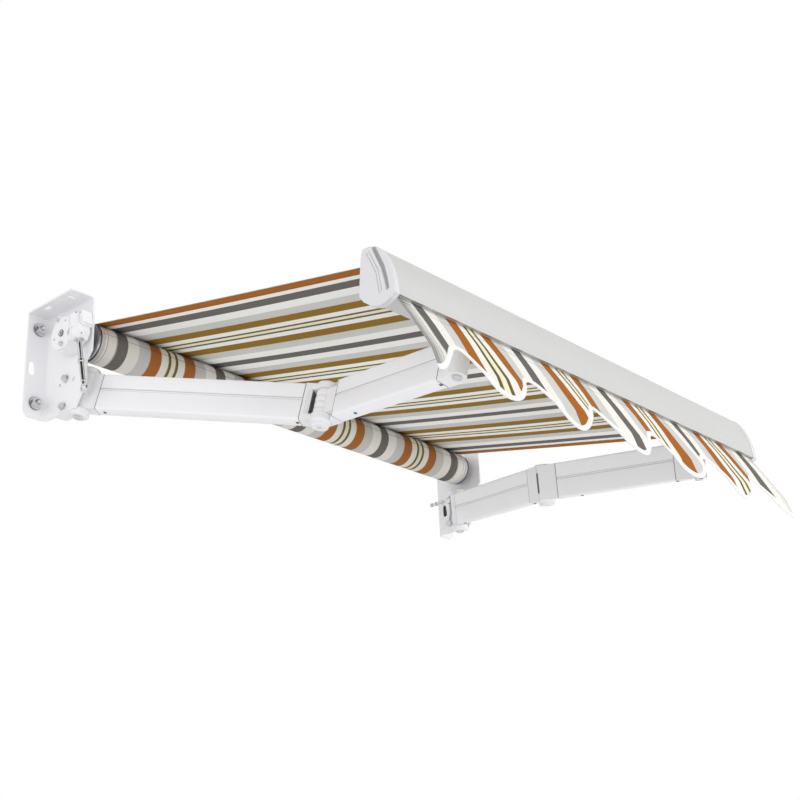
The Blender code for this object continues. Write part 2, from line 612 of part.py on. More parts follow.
collar = turned([(BEARING_RADIUS, -SIDE_INNER + BEARING_WIDTH),
                 (SHAFT_RADIUS + RUN, -SIDE_INNER + BEARING_WIDTH),
                 (SHAFT_RADIUS + RUN, -SIDE_OUTER + 0.001), (GEAR_HOLE - GAP, -SIDE_OUTER + 0.001),
                 (GEAR_HOLE - GAP, -SIDE_INNER + GAP), (BEARING_RADIUS, -SIDE_INNER + GAP)],
                "X", 32, AXIS_PLACE)
finish("left_roller_bearing", collar, "zinc_steel", smooth=radians(30))

# Plate bolts: hexagon head outside, shank through the sheet and casting, round nut inside
WEB_THICKNESS = 0.0263
WEB_INNER = SIDE_INNER - WEB_THICKNESS
BOLT_SHANK = 0.0042
NUT_RADIUS = 0.0072
for side in SIDES:
    for row, (y, z) in zip(("upper", "lower"), PLATE_BOLTS):
        place = Matrix.Translation((0, y, z))
        head = rod(0.0072, *span(side, SIDE_OUTER + 0.0015, SIDE_OUTER + 0.0070), "X", 6, place)
        pad = rod(0.0086, *span(side, SIDE_OUTER + GAP, SIDE_OUTER + 0.0020), "X", 24, place)
        shank = rod(BOLT_SHANK, *span(side, WEB_INNER - 0.002, SIDE_OUTER + 0.002), "X", 20, place)
        nut = rod(NUT_RADIUS, *span(side, WEB_INNER - 0.0060, WEB_INNER - GAP), "X", 20, place)
        bolt = join(head, pad, shank, nut)
        finish(f"{SIDES[side]}_{row}_plate_bolt", bolt, "zinc_steel", smooth=radians(30))


def plan(side, points):
    """Outline given by inboard offset and reach from the pivot, in the frame of an arm."""
    return [(-side * offset, -reach) for offset, reach in points]


# Shoulder castings: two ears round the arm's root, web and flange on the side plate
EAR_START = ARM_HALF_HEIGHT + GAP
SHOULDER_EAR = 0.0190
TOP_END = EAR_START + 0.0125
BOTTOM_END = -EAR_START - 0.0150
PLATE_CLEAR = SIDE_INNER - GAP
SCREW_INSET = 0.0325
LUG_INSET = 0.0240
SCREW_HEIGHT = -0.0370
SCREW_RADIUS = 0.0028
for side in SIDES:
    label = SIDES[side]
    back = PLANE_TURN[side].inverted()
    upper_ear = turned([(0, TOP_END), (SHOULDER_EAR - 0.0050, TOP_END),
                        (SHOULDER_EAR - 0.0015, TOP_END - 0.0018),
                        (SHOULDER_EAR, TOP_END - 0.0050), (SHOULDER_EAR, EAR_START), (0, EAR_START)],
                        steps=40)
    lower_ear = turned([(0, -EAR_START), (SHOULDER_EAR, -EAR_START),
                        (SHOULDER_EAR + 0.0015, -EAR_START - 0.003),
                        (SHOULDER_EAR + 0.0015, BOTTOM_END + 0.0030), (SHOULDER_EAR - 0.0020, BOTTOM_END),
                        (0, BOTTOM_END)], steps=40)
    web = prism([plan(side, [(-0.0300, 0.0040), (-0.0090, 0.0040), (-0.0020, -0.0120), (0.0020, -0.0180),
                             (0.0020, -0.0460), (-0.0300, -0.0460)])], BOTTOM_END + 0.0010, TOP_END - 0.0010)
    flange = box((-FLANGE_OUTER, -0.0790, BRACKET_BOTTOM + 0.0007), (-WEB_INNER, -0.0300, -0.0230))
    if side == RIGHT:
        flange.data.transform(Matrix.Scale(-1, 4, (1, 0, 0)))
        weld(flange.data)
    lug_place = Matrix.Translation((side * (SIDE_INNER - LUG_INSET), 0, SCREW_HEIGHT))
    screw_place = Matrix.Translation((side * (SIDE_INNER - SCREW_INSET), 0, SCREW_HEIGHT))
    lug = rod(0.0085, -0.0430, -0.0290, "Y", 24, lug_place)
    flange.data.transform(back)
    lug.data.transform(back)
    casting = join(web, upper_ear, lower_ear, flange, lug)
    way = rod(EYE_RADIUS + RUN, -EAR_START, EAR_START, "Z", 40)
    front = prism([plan(side, [(-0.0120, 0.0000), (0.0400, 0.0000), (0.0400, 0.0400), (-0.0120, 0.0400)])],
                  -EAR_START, EAR_START)
    bore = rod(PIN_RADIUS + GAP, -0.1, 0.1, "Z", 24)
    plate_low, plate_high = span(side, PLATE_CLEAR, PLATE_CLEAR + FAR)
    plate = box((plate_low, -FAR, BRACKET_BOTTOM - GAP), (plate_high, FAR, FAR), back)
    pocket = prism([slot((-0.0480, -0.0600), 0.0085, 0.0060, True)],
                   *span(side, WEB_INNER - 0.01, WEB_INNER + 0.0080), "X", back)
    holes = [rod(BOLT_SHANK + GAP, *span(side, WEB_INNER - 0.02, SIDE_OUTER), "X", 20,
                 back @ Matrix.Translation((0, y, z))) for y, z in PLATE_BOLTS]
    seats = [rod(NUT_RADIUS + RUN, *span(side, WEB_INNER - 0.03, WEB_INNER), "X", 24,
                 back @ Matrix.Translation((0, y, z))) for y, z in PLATE_BOLTS]
    screw_way = rod(SCREW_RADIUS + GAP, -0.0600, -0.0200, "Y", 16, back @ screw_place)
    cut(casting, way, front, bore, plate, pocket, screw_way, *holes, *seats)
    finish(f"{label}_shoulder_casting", casting, "cast_coat", shoulder_frames[side], radians(35))
    pin_profile = [(0, TOP_END - 0.0005), (PIN_RADIUS, TOP_END - 0.0005), (PIN_RADIUS, BOTTOM_END - GAP),
                   (0.0090, BOTTOM_END - GAP), (0.0090, BOTTOM_END - 0.0030), (0.0070, BOTTOM_END - 0.0045),
                   (0, BOTTOM_END - 0.0045)]
    finish(f"{label}_shoulder_pin", turned(pin_profile, steps=24), "zinc_steel", shoulder_frames[side],
           radians(35))
    screw = rod(SCREW_RADIUS, -0.0480, -0.0120, "Y", 16, screw_place)
    nut = rod(0.0056, -0.0262, -0.0222, "Y", 6, screw_place)
    knob = rod(0.0052, -0.0140, -0.0090, "Y", 16, screw_place)
    finish(f"{label}_pitch_screw", join(screw, nut, knob), "zinc_steel", smooth=radians(30))


def arm_section(side, inset, groove):
    """Section of an arm profile as offset and height; the outer one carries a groove on each face."""
    inner = ARM_INBOARD - inset
    outer = ARM_OUTBOARD + inset
    top = ARM_HALF_HEIGHT - inset
    corner = 0.0030 if groove else 0.0010
    points = arc((inner - corner, corner - top), corner, -90, 0, 2)
    if groove:
        points += groove_at(inner, -1)
    points += arc((inner - corner, top - corner), corner, 0, 90, 2)
    points += arc((outer + corner, top - corner), corner, 90, 180, 2)
    if groove:
        points += reversed(groove_at(outer, 1))
    points += arc((outer + corner, corner - top), corner, 180, 270, 2)
    return [(-side * offset, height) for offset, height in points]


GROOVE_HEIGHT = 0.0045
GROOVE_HALF = 0.0022
GROOVE_DEPTH = 0.0012


def groove_at(face, inward):
    deep = face + inward * GROOVE_DEPTH
    return [(face, GROOVE_HEIGHT - GROOVE_HALF), (deep, GROOVE_HEIGHT - GROOVE_HALF + 0.0008),
            (deep, GROOVE_HEIGHT + GROOVE_HALF - 0.0008), (face, GROOVE_HEIGHT + GROOVE_HALF)]


def profile_tube(side, start, end):
    outlines = [arm_section(side, 0, True), arm_section(side, ARM_WALL, False)]
    return prism(outlines, -end, -start, "Y")


def spigot(side, start, end):
    """Block that fits inside a profile between two reaches."""
    inset = ARM_WALL + GAP
    edge = ARM_HALF_HEIGHT - inset
    across = sorted((-side * (ARM_OUTBOARD + inset), -side * (ARM_INBOARD - inset)))
    return box((across[0], -end, -edge), (across[1], -start, edge))


def block(side, points, low=-ARM_HALF_HEIGHT, high=ARM_HALF_HEIGHT):
    return prism([plan(side, points)], low, high)


# Upper arms: profile, root casting with the shoulder eye, fork casting at the elbow
EARS_LOW = -MIDDLE_HALF - EAR_THICKNESS
EARS_HIGH = MIDDLE_HALF + EAR_THICKNESS
BEND_ANGLE = UPPER_ANGLE + FOREARM_ANGLE
SLIT_RISE = tan(BEND_ANGLE / 2)
POCKET_REACH = 0.0255
FOLD_REACH = 0.0342
FOLD_DEPTH = 0.0052
WALL_START = 0.0145
STEM_START = (0.0135, 0.0080)
STEM_SHOULDER = 0.0240
for side in SIDES:
    label = SIDES[side]
    tube = profile_tube(side, ROOT_REACH, UPPER_LENGTH - ELBOW_REACH)
    finish(f"{label}_upper_arm_profile", tube, "arm_coat", upper_frames[side], radians(25))
    root = rod(EYE_RADIUS, -ARM_HALF_HEIGHT, ARM_HALF_HEIGHT, "Z", 40)
    stem = block(side, [(ARM_OUTBOARD, 0.0060), (ARM_OUTBOARD, ROOT_REACH - GAP),
                        (ARM_INBOARD, ROOT_REACH - GAP),
                        (ARM_INBOARD, STEM_SHOULDER), STEM_START])
    root = join(root, stem, spigot(side, ROOT_REACH - 0.001, ROOT_REACH + SPIGOT))
    cut(root, rod(PIN_RADIUS + GAP, -0.1, 0.1, "Z", 24))
    finish(f"{label}_arm_root", root, "cast_coat", upper_frames[side], radians(30))

    elbow = Matrix.Translation((0, -UPPER_LENGTH, 0))
    slit_high = (ARM_INBOARD, ARM_INBOARD * SLIT_RISE - SLIT / 2)
    slit_low = (ARM_OUTBOARD, ARM_OUTBOARD * SLIT_RISE - SLIT / 2)
    fork = block(side, [(ARM_OUTBOARD, GAP - ELBOW_REACH), (ARM_INBOARD, GAP - ELBOW_REACH), slit_high,
                        slit_low])
    upper_ear = turned([(0, EARS_HIGH), (EAR_RADIUS - 0.003, EARS_HIGH), (EAR_RADIUS, EARS_HIGH - 0.003),
                        (EAR_RADIUS, MIDDLE_HALF - 0.001), (0, MIDDLE_HALF - 0.001)], steps=40)
    lower_ear = turned([(0, 0.001 - MIDDLE_HALF), (EAR_RADIUS, 0.001 - MIDDLE_HALF),
                        (EAR_RADIUS, EARS_LOW + 0.003),
                        (EAR_RADIUS - 0.003, EARS_LOW), (0.0165, EARS_LOW), (0.0165, EARS_LOW - 0.0060),
                        (0.0150, EARS_LOW - 0.0080), (0, EARS_LOW - 0.0080)], steps=40)
    join(fork, upper_ear, lower_ear, spigot(side, -ELBOW_REACH - SPIGOT, 0.001 - ELBOW_REACH))
    around = rod(DRUM_RADIUS + LOBE + RUN, -MIDDLE_HALF, MIDDLE_HALF, "Z", 40)
    pocket = block(side, [(-BIG, -FOLD_REACH), (ARM_OUTBOARD, -FOLD_REACH),
                          (ARM_OUTBOARD + FOLD_DEPTH, -POCKET_REACH),
                          (WALL_START, -POCKET_REACH), (WALL_START, BIG), (-BIG, BIG)], -MIDDLE_HALF,
                          MIDDLE_HALF)
    ahead = block(side, [(0, 0), (BIG, BIG * SLIT_RISE - SLIT), (BIG, 2 * BIG), (0, 2 * BIG)],
                  -MIDDLE_HALF, MIDDLE_HALF)
    cut(fork, around, pocket, ahead, rod(PIN_RADIUS + GAP, -0.1, 0.1, "Z", 24))
    fork.data.transform(elbow)
    finish(f"{label}_elbow_fork", fork, "cast_coat", upper_frames[side], radians(35))
    pin_profile = [(0, EARS_HIGH - 0.0005), (PIN_RADIUS, EARS_HIGH - 0.0005), (PIN_RADIUS, EARS_LOW - 0.0075),
                   (0, EARS_LOW - 0.0075)]
    finish(f"{label}_elbow_pin", turned(pin_profile, steps=24, matrix=elbow), "zinc_steel",
           upper_frames[side],
           radians(35))

    # Forearm: casting with a lobed drum, profile, casting with the wrist eye
    forearm = profile_tube(side, ELBOW_REACH, FOREARM_LENGTH - WRIST_REACH)
    finish(f"{label}_forearm_profile", forearm, "arm_coat", elbow_frames[side], radians(25))
    near = block(side, [(ARM_OUTBOARD, -ARM_OUTBOARD * SLIT_RISE + SLIT / 2),
                        (ARM_OUTBOARD, ELBOW_REACH - GAP),
                        (ARM_INBOARD, ELBOW_REACH - GAP), (ARM_INBOARD, -ARM_INBOARD * SLIT_RISE + SLIT / 2)])
    join(near, spigot(side, ELBOW_REACH - 0.001, ELBOW_REACH + SPIGOT))
    ears_way = [rod(EAR_RADIUS + RUN, MIDDLE_HALF - RUN, 0.1, "Z", 40),
                rod(EAR_RADIUS + RUN, -0.1, RUN - MIDDLE_HALF, "Z", 40)]
    fold_way = [(-0.05, -0.01), (0.0040, -0.0100), (0.0040, 0.0205), (ARM_OUTBOARD, 0.0385), (-0.05, 0.0385)]
    ears_way.append(block(side, fold_way, MIDDLE_HALF - RUN, 0.1))
    ears_way.append(block(side, fold_way, -0.1, RUN - MIDDLE_HALF))
    cut(near, *ears_way)
    drum_profile = [(0, MIDDLE_HALF - RUN)]
    lobe_height = 2 * (MIDDLE_HALF - RUN) / LOBES
    for lobe in range(LOBES):
        crown = MIDDLE_HALF - RUN - lobe * lobe_height
        for share, swell in ((0.0, 0.0), (0.15, 0.7), (0.5, 1.0), (0.85, 0.7)):
            drum_profile.append((DRUM_RADIUS + LOBE * swell, crown - share * lobe_height))
    drum_profile += [(DRUM_RADIUS, RUN - MIDDLE_HALF), (0, RUN - MIDDLE_HALF)]
    join(near, turned(drum_profile, steps=40))
    cut(near, rod(PIN_RADIUS + GAP, -0.1, 0.1, "Z", 24))
    finish(f"{label}_elbow_drum", near, "cast_coat", elbow_frames[side], radians(35))

    wrist = Matrix.Translation((0, -FOREARM_LENGTH, 0))
    eye = rod(EYE_RADIUS, -ARM_HALF_HEIGHT, ARM_HALF_HEIGHT, "Z", 40, wrist)
    start = FOREARM_LENGTH - WRIST_REACH
    far = block(side, [(ARM_OUTBOARD, start + GAP), (ARM_INBOARD, start + GAP), (ARM_INBOARD, start + 0.0180),
                       (0.0140, FOREARM_LENGTH), (ARM_OUTBOARD, FOREARM_LENGTH)])
    join(eye, far, spigot(side, start - SPIGOT, start + 0.001))
    cut(eye, rod(PIN_RADIUS + GAP, -0.1, 0.1, "Z", 24, wrist))
    finish(f"{label}_wrist_eye", eye, "cast_coat", elbow_frames[side], radians(30))


def offset(outline, distance):
    """Outline moved outwards by a distance, corners kept sharp; the outline runs counter-clockwise."""
    moved = []
    count = len(outline)
    for index, point in enumerate(outline):
        before = outline[index - 1]
        after = outline[(index + 1) % count]
        normals = []
        for start, end in ((before, point), (point, after)):
            length = hypot(end[0] - start[0], end[1] - start[1])
            normals.append(((end[1] - start[1]) / length, (start[0] - end[0]) / length))
        share = 1 + normals[0][0] * normals[1][0] + normals[0][1] * normals[1][1]
        moved.append((point[0] + distance * (normals[0][0] + normals[1][0]) / share,
                      point[1] + distance * (normals[0][1] + normals[1][1]) / share))
    return moved


# Front bar: hollow extrusion, end caps with a recessed channel
BAR_OUTLINE = from_wrist([(0.0306, 0.1374), (0.0178, 0.1370), (0.0073, 0.1347), (-0.0007, 0.1294),
                          (-0.0072, 0.1216),
               (-0.0152, 0.1083), (-0.0219, 0.0945), (-0.0262, 0.0813), (-0.0290, 0.0691), (-0.0326, 0.0395),
               (0.0412, 0.0584), (0.0376, 0.1008), (0.0348, 0.1265)])
BAR_WALL = 0.0020
CAP_DIP = from_wrist([(-0.0326, 0.0395), (-0.0252, 0.0343), (-0.0122, 0.0293), (0.0008, 0.0276),
                      (0.0168, 0.0338),
           (0.0328, 0.0459), (0.0412, 0.0584)])
bar = prism([BAR_OUTLINE, offset(BAR_OUTLINE, -BAR_WALL)], -BAR_HALF, BAR_HALF, "X")
finish("front_bar", bar, "bar_coat", smooth=radians(30))
CAP_OUTLINE = offset(BAR_OUTLINE[:9] + CAP_DIP + BAR_OUTLINE[11:], 0.0006)
CHANNEL = from_wrist([(0.0158, 0.1418), (0.0078, 0.1418), (-0.0012, 0.1218), (-0.0137, 0.0933),
                      (-0.0197, 0.0688),
           (-0.0222, 0.0508), (-0.0162, 0.0478), (-0.0122, 0.0678), (-0.0062, 0.0908), (0.0053, 0.1178)])
FINE_RIDGES = (((0.0193, 0.1298), (0.0003, 0.0898), (-0.0057, 0.0498)),
               ((0.0243, 0.1278), (0.0053, 0.0878), (-0.0007, 0.0478)))
for side in SIDES:
    cap = prism([CAP_OUTLINE], *span(side, BAR_HALF + GAP, BAR_HALF + CAP_THICKNESS), "X")
    plug = prism([offset(BAR_OUTLINE, -BAR_WALL - GAP)], *span(side, BAR_HALF - 0.012, BAR_HALF + 0.001), "X")
    join(cap, plug)
    deep = prism([CHANNEL], *span(side, BAR_HALF + CAP_THICKNESS - 0.0035, BAR_HALF + 0.1), "X")
    lines = []
    for ridge in FINE_RIDGES:
        edge = from_wrist(ridge)
        outline = edge + [(y - 0.0014, z + 0.0003) for y, z in reversed(edge)]
        lines.append(prism([outline], *span(side, BAR_HALF + CAP_THICKNESS - 0.0010, BAR_HALF + 0.1), "X"))
    cut(cap, deep, *lines)
    finish(f"{SIDES[side]}_end_cap", cap, "cap_plastic", smooth=radians(30))

# Wrist brackets: foot under the bar and plate over the eye, both level along the bar
WRIST_PLATE = 0.0060
PIN_BITE = 0.0045
PLATE_RISE = ARM_HALF_HEIGHT * cos(ARM_LEAN) + EYE_RADIUS * sin(ARM_LEAN) + GAP
FOOT_HALF = 0.0200
FOOT_BACK = 0.0270
FOOT_FRONT = 0.0100
FOOT_HEIGHT = 0.0300
for side in SIDES:
    label = SIDES[side]
    holder = wrist_frames[side]
    level = Matrix.Translation(WRIST_PLACE[side].translation) @ Matrix.Rotation(ARM_PITCH, 4, "X")
    crown = level @ Matrix.Translation((-side * PLATE_RISE * tan(ARM_LEAN), 0, PLATE_RISE))
    plate = rod(EYE_RADIUS, 0, WRIST_PLATE, "Z", 40, crown)
    foot = box((-FOOT_HALF, -FOOT_FRONT, 0.0010), (FOOT_HALF, FOOT_BACK, FOOT_HEIGHT), crown)
    clear = prism([offset(BAR_OUTLINE, GAP)], -BAR_HALF, BAR_HALF, "X")
    tools = [clear]
    if side == LEFT:
        tools.append(rod(PIN_RADIUS + GAP, -FAR, FAR, "Z", 24, WRIST_PLACE[side]))
    bracket = cut(join(plate, foot), *tools)
    bracket.data.transform(WRIST_PLACE[side].inverted())
    finish(f"{label}_wrist_bracket", bracket, "cast_coat", holder, radians(30))
    top = PLATE_RISE / cos(ARM_LEAN) + PIN_BITE if side == LEFT else ARM_HALF_HEIGHT - GAP
    low = -ARM_HALF_HEIGHT - GAP
    profile = [(0, top), (PIN_RADIUS, top), (PIN_RADIUS, low), (0.0085, low), (0.0085, low - 0.0030),
               (0.0065, low - 0.0045), (0, low - 0.0045)]
    pin = turned(profile, steps=24)
    finish(f"{label}_wrist_pin", pin, "zinc_steel", holder, radians(35))

# Canopy sheet from the roller to the back of the bar
cloth_turn = Matrix((( 1, FALL.x, NORMAL.x, LEAVE.x), (0, FALL.y, NORMAL.y, LEAVE.y),
                     (0, FALL.z, NORMAL.z, LEAVE.z), (0, 0, 0, 1)))
canopy = box((-BAR_HALF, 0, -GAP - CLOTH), (BAR_HALF, CANOPY_LENGTH, -GAP), cloth_turn)
finish("canopy", canopy, "striped_cloth")

# Valance with scallops and its bound edge, hanging from the bar's front edge
HANG = from_wrist([(-0.0221, 0.0429), (-0.0497, -0.0019), (-0.0682, -0.0357), (-0.0864, -0.0687),
                   (-0.0961, -0.1018)])
HANG_START = 0.0021
COLUMNS = 72


def along_hang(drop):
    """Point of the hanging line at a drop measured along it."""
    for start, end in zip(HANG, HANG[1:]):
        length = hypot(end[0] - start[0], end[1] - start[1])
        if drop <= length or end is HANG[-1]:
            return (start[0] + (end[0] - start[0]) * drop / length,
                    start[1] + (end[1] - start[1]) * drop / length)
        drop -= length


def scallop(place, inside):
    """Point of the scalloped edge, or of a line that far inside it, as place along and drop."""
    wave = 2 * pi * SCALLOPS / FABRIC_WIDTH
    swing = (VALANCE_DEEP - VALANCE_SHALLOW) / 2
    turn = wave * (place + BAR_HALF)
    drop = VALANCE_SHALLOW + swing * (1 + cos(turn))
    slope = -swing * wave * sin(turn)
    length = hypot(1, slope)
    return (place + inside * slope / length, drop - inside / length)


def hanging_sheet(first, last, rows, thickness):
    """Sheet between two lines on the hanging surface, thickened to both sides."""
    work = bmesh.new()
    bmesh.ops.create_grid(work, x_segments=COLUMNS, y_segments=rows, size=0.5)
    for vertex in work.verts:
        place = vertex.co.x * FABRIC_WIDTH
        share = vertex.co.y + 0.5
        upper = first(place)
        lower = last(place)
        across = upper[0] + (lower[0] - upper[0]) * share
        y, z = along_hang(upper[1] + (lower[1] - upper[1]) * share)
        vertex.co = (across, y, z)
    mesh = bpy.data.meshes.new("sheet")
    work.to_mesh(mesh)
    work.free()
    shape = to_object("shape", mesh, parts)
    shell = shape.modifiers.new("Solidify", "SOLIDIFY")
    shell.thickness = thickness
    shell.offset = 0
    shell.use_even_offset = True
    apply(shape)
    weld(shape.data)
    return shape


valance = hanging_sheet(lambda place: (place, HANG_START), lambda place: scallop(place, BINDING + GAP), 5,
                        CLOTH)
finish("valance", valance, "striped_cloth", smooth=radians(30))
binding = hanging_sheet(lambda place: scallop(place, BINDING), lambda place: scallop(place, 0), 1,
                        BINDING_THICKNESS)
finish("valance_binding", binding, "binding_tape", smooth=radians(50))
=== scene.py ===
"""Dresses the folding-arm awning: striped cloth, seams, coated metal, fasteners, and a studio stage."""
import json
from math import cos, hypot, pi, radians, sin

import bmesh
import bpy
from bpy.props import FloatProperty, FloatVectorProperty, IntProperty, PointerProperty
from mathutils import Matrix, Vector


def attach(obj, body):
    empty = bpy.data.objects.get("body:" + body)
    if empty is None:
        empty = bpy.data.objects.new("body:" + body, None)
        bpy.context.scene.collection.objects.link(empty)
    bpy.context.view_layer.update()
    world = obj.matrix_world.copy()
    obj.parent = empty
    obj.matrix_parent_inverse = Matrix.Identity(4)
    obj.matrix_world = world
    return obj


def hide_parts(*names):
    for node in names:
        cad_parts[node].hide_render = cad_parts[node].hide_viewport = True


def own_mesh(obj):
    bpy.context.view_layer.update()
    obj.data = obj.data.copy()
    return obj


bl_info = {
    "name": "Folding-Arm Awning",
    "version": (1, 0, 0),
    "blender": (4, 5, 0),
    "location": "3D View > Sidebar > Awning",
    "description": "Dresses the packed awning with cloth, seams, coatings and fasteners",
    "category": "Object",
}

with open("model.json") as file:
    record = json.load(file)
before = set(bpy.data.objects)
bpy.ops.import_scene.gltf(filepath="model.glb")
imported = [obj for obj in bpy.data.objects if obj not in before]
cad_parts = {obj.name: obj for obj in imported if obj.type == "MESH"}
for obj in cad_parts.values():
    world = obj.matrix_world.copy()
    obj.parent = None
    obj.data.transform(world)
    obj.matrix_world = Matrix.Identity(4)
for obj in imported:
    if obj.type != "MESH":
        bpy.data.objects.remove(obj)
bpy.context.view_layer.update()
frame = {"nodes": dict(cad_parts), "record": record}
BODY_OF = {node: body for body, nodes in frame["record"]["behaviour"]["bodies"].items() for node in nodes}

# Shape of the cloth, in metres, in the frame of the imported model
HALF_WIDTH = 0.5500
PITCH = radians(11.95)
LEAVE = Vector((0, -0.1001, 0.0751))
FALL = Vector((0, -cos(PITCH), -sin(PITCH)))
UNDER = Vector((0, sin(PITCH), -cos(PITCH)))
CANOPY_LENGTH = 0.7388
ROLL_RADIUS = 0.0384
ROLL_AXIS = LEAVE + UNDER * ROLL_RADIUS
CLOTH = 0.0008
HANG = [(-0.8819, -0.1489), (-0.9095, -0.1937), (-0.9280, -0.2275), (-0.9462, -0.2605), (-0.9559, -0.2936)]
HANG_START = 0.0021
DEEP = 0.1720
SHALLOW = 0.0960
SCALLOPS = 6
BINDING = 0.0100
HEM_STRIPE = 0.1185
LAYERS = 1.06
LAYER_STEP = 0.0010

# Places on the metal, in the same frame; the right arm mirrors the left one
SHOULDER = Vector((-0.5550, -0.0889, -0.0665))
ELBOW = Vector((-0.3336, -0.5112, -0.1586))
WRIST = Vector((-0.3689, -0.8598, -0.1918))
LEAN = Vector((0.1913, -0.1123, 0.9751))
ARM_HALF_HEIGHT = 0.0372
ARM_MIDDLE = 0.0060
ROOT_REACH = 0.0340
ELBOW_REACH = 0.0400
WRIST_REACH = 0.0400
GROOVE_SPANS = ((0.0021, 0.0032), (0.0058, 0.0069))
GEARBOX_OUTER = -0.6180
WASHER_FACE = -0.0068
SIDES = {"left": Vector((1, 1, 1)), "right": Vector((-1, 1, 1))}

# Rounding of the edges and places of the small screws
BOLT_EDGE = 0.0003
PROFILE_EDGE = 0.0005
EDGE_ANGLE = 32
SET_SCREW_SIZE = 0.42
SET_SCREWS = (((-0.6106, -0.1469, 0.0215), (0, -0.84, -0.55)),
              ((-0.6159, -0.1338, 0.0676), (-0.63, -0.76, 0.16)),
              ((-0.6120, -0.1413, 0.0662), (-1, 0, 0)))
COVER_RECESSES = (("boss", (0, 0, 0), 0.0041, 0.0014),
                  ("upper", (0, -0.0110, 0.0235), 0.0021, 0.0019),
                  ("front", (0, 0.0235, -0.0057), 0.0021, 0.0019))
RECESS_GAP = 0.0001


class AwningCloth(bpy.types.PropertyGroup):
    """Colours and sizes of the striped cloth"""
    repeat: FloatProperty(name="Repeat", description="Width of one repeat of the stripes", default=0.2508,
                          unit="LENGTH")
    thread: FloatProperty(name="Thread", description="Distance between two threads of the weave",
                          default=0.0009, unit="LENGTH")
    hem: FloatProperty(name="Hem", description="Width of the folded side hem", default=0.020, unit="LENGTH")
    sag: FloatProperty(name="Sag", description="Sag of the canopy half way", default=0.003, unit="LENGTH")
    ripple: FloatProperty(name="Ripple", description="Depth of the waves in the valance", default=0.0065,
                          unit="LENGTH")
    dark_grey: FloatVectorProperty(name="Dark grey", description="Dark grey stripe", subtype="COLOR",
                                   default=(0.155, 0.142, 0.132))
    light_grey: FloatVectorProperty(name="Light grey", description="Light grey stripe", subtype="COLOR",
                                    default=(0.66, 0.66, 0.64))
    cream: FloatVectorProperty(name="Cream", description="Cream ground", subtype="COLOR",
                               default=(0.92, 0.905, 0.84))
    orange: FloatVectorProperty(name="Orange", description="Orange stripe", subtype="COLOR",
                                default=(0.42, 0.130, 0.010))
    olive: FloatVectorProperty(name="Olive", description="Dark olive stripe", subtype="COLOR",
                               default=(0.138, 0.118, 0.040))
    straw: FloatVectorProperty(name="Straw", description="Pale yellow stripe", subtype="COLOR",
                               default=(0.92, 0.86, 0.62))
    # The colours seen from below are painted light and shade: the cream is whitened by light shining
    # through the cloth, the orange is darkened to a shaded olive brown.
    under_orange: FloatVectorProperty(name="Orange below", description="Orange stripe seen from below",
                                      subtype="COLOR", default=(0.30, 0.165, 0.014))
    under_cream: FloatVectorProperty(name="Cream below", description="Cream ground seen from below",
                                     subtype="COLOR", default=(0.96, 0.96, 0.93))


class AwningMetal(bpy.types.PropertyGroup):
    """Finish of the metal and plastic pieces"""
    coat: FloatVectorProperty(name="Powder coat", description="Coated brackets and castings",
                              subtype="COLOR", default=(0.89, 0.89, 0.91))
    profile: FloatVectorProperty(name="Arm coat", description="Coated arm profiles", subtype="COLOR",
                                 default=(0.93, 0.93, 0.96))
    # The bar's grey, well below the white of the other coats, paints the shade that the bar's face lies in.
    bar: FloatVectorProperty(name="Bar coat", description="Coated front bar", subtype="COLOR",
                             default=(0.58, 0.58, 0.57))
    zinc: FloatVectorProperty(name="Zinc", description="Zinc-plated bolts and tubes", subtype="COLOR",
                              default=(0.80, 0.80, 0.82))
    # The plugs' dark blue-grey paints the shade in the gaps at the roller's ends.
    plug: FloatVectorProperty(name="Plug", description="Moulded roller plugs", subtype="COLOR",
                              default=(0.15, 0.16, 0.19))
    # Colour painted into narrow gaps, slits, grooves and recesses as shade.
    shade: FloatVectorProperty(name="Gap shade", description="Dark shading in narrow gaps", subtype="COLOR",
                               default=(0.06, 0.06, 0.065))
    edge: FloatProperty(name="Edge round", description="Rounding of cast and folded edges", default=0.0008,
                        unit="LENGTH")
    screws: IntProperty(name="Screw sides", description="Facets of the small screw heads", default=20)


class AwningStage(bpy.types.PropertyGroup):
    """Camera, lamps and floor"""
    lens: FloatProperty(name="Lens", description="Focal length for a 36 mm sensor", default=62.08)
    floor: FloatProperty(name="Floor", description="Height of the floor", default=-1.75, unit="LENGTH")
    sky: FloatProperty(name="Surround", description="Strength of the even light", default=0.86)
    key: FloatProperty(name="Key lamp", description="Power of the large front lamp", default=26.0)
    side: FloatProperty(name="Side lamp", description="Power of the lamp on the left", default=14.0)
    fill: FloatProperty(name="Fill lamp", description="Power of the lamp from below", default=24.0)


# Node helpers

def tree_of(material):
    """Node tree, links and main shader of a material."""
    material.use_nodes = True
    tree = material.node_tree
    return tree, tree.links, tree.nodes["Principled BSDF"]


def add(tree, kind, **values):
    """Add a node; values name its properties, or its inputs where it has no such property."""
    node = tree.nodes.new(kind)
    for key, value in values.items():
        if hasattr(node, key):
            setattr(node, key, value)
        else:
            node.inputs[key.replace("_", " ")].default_value = value
    return node


def ramp(tree, stops, interpolation="LINEAR"):
    """Colour ramp from positions with their colours."""
    node = tree.nodes.new("ShaderNodeValToRGB")
    node.color_ramp.interpolation = interpolation
    elements = node.color_ramp.elements
    while len(elements) < len(stops):
        elements.new(0.5)
    for element, (position, colour) in zip(elements, stops):
        element.position = position
        element.color = (*colour, 1)
    return node


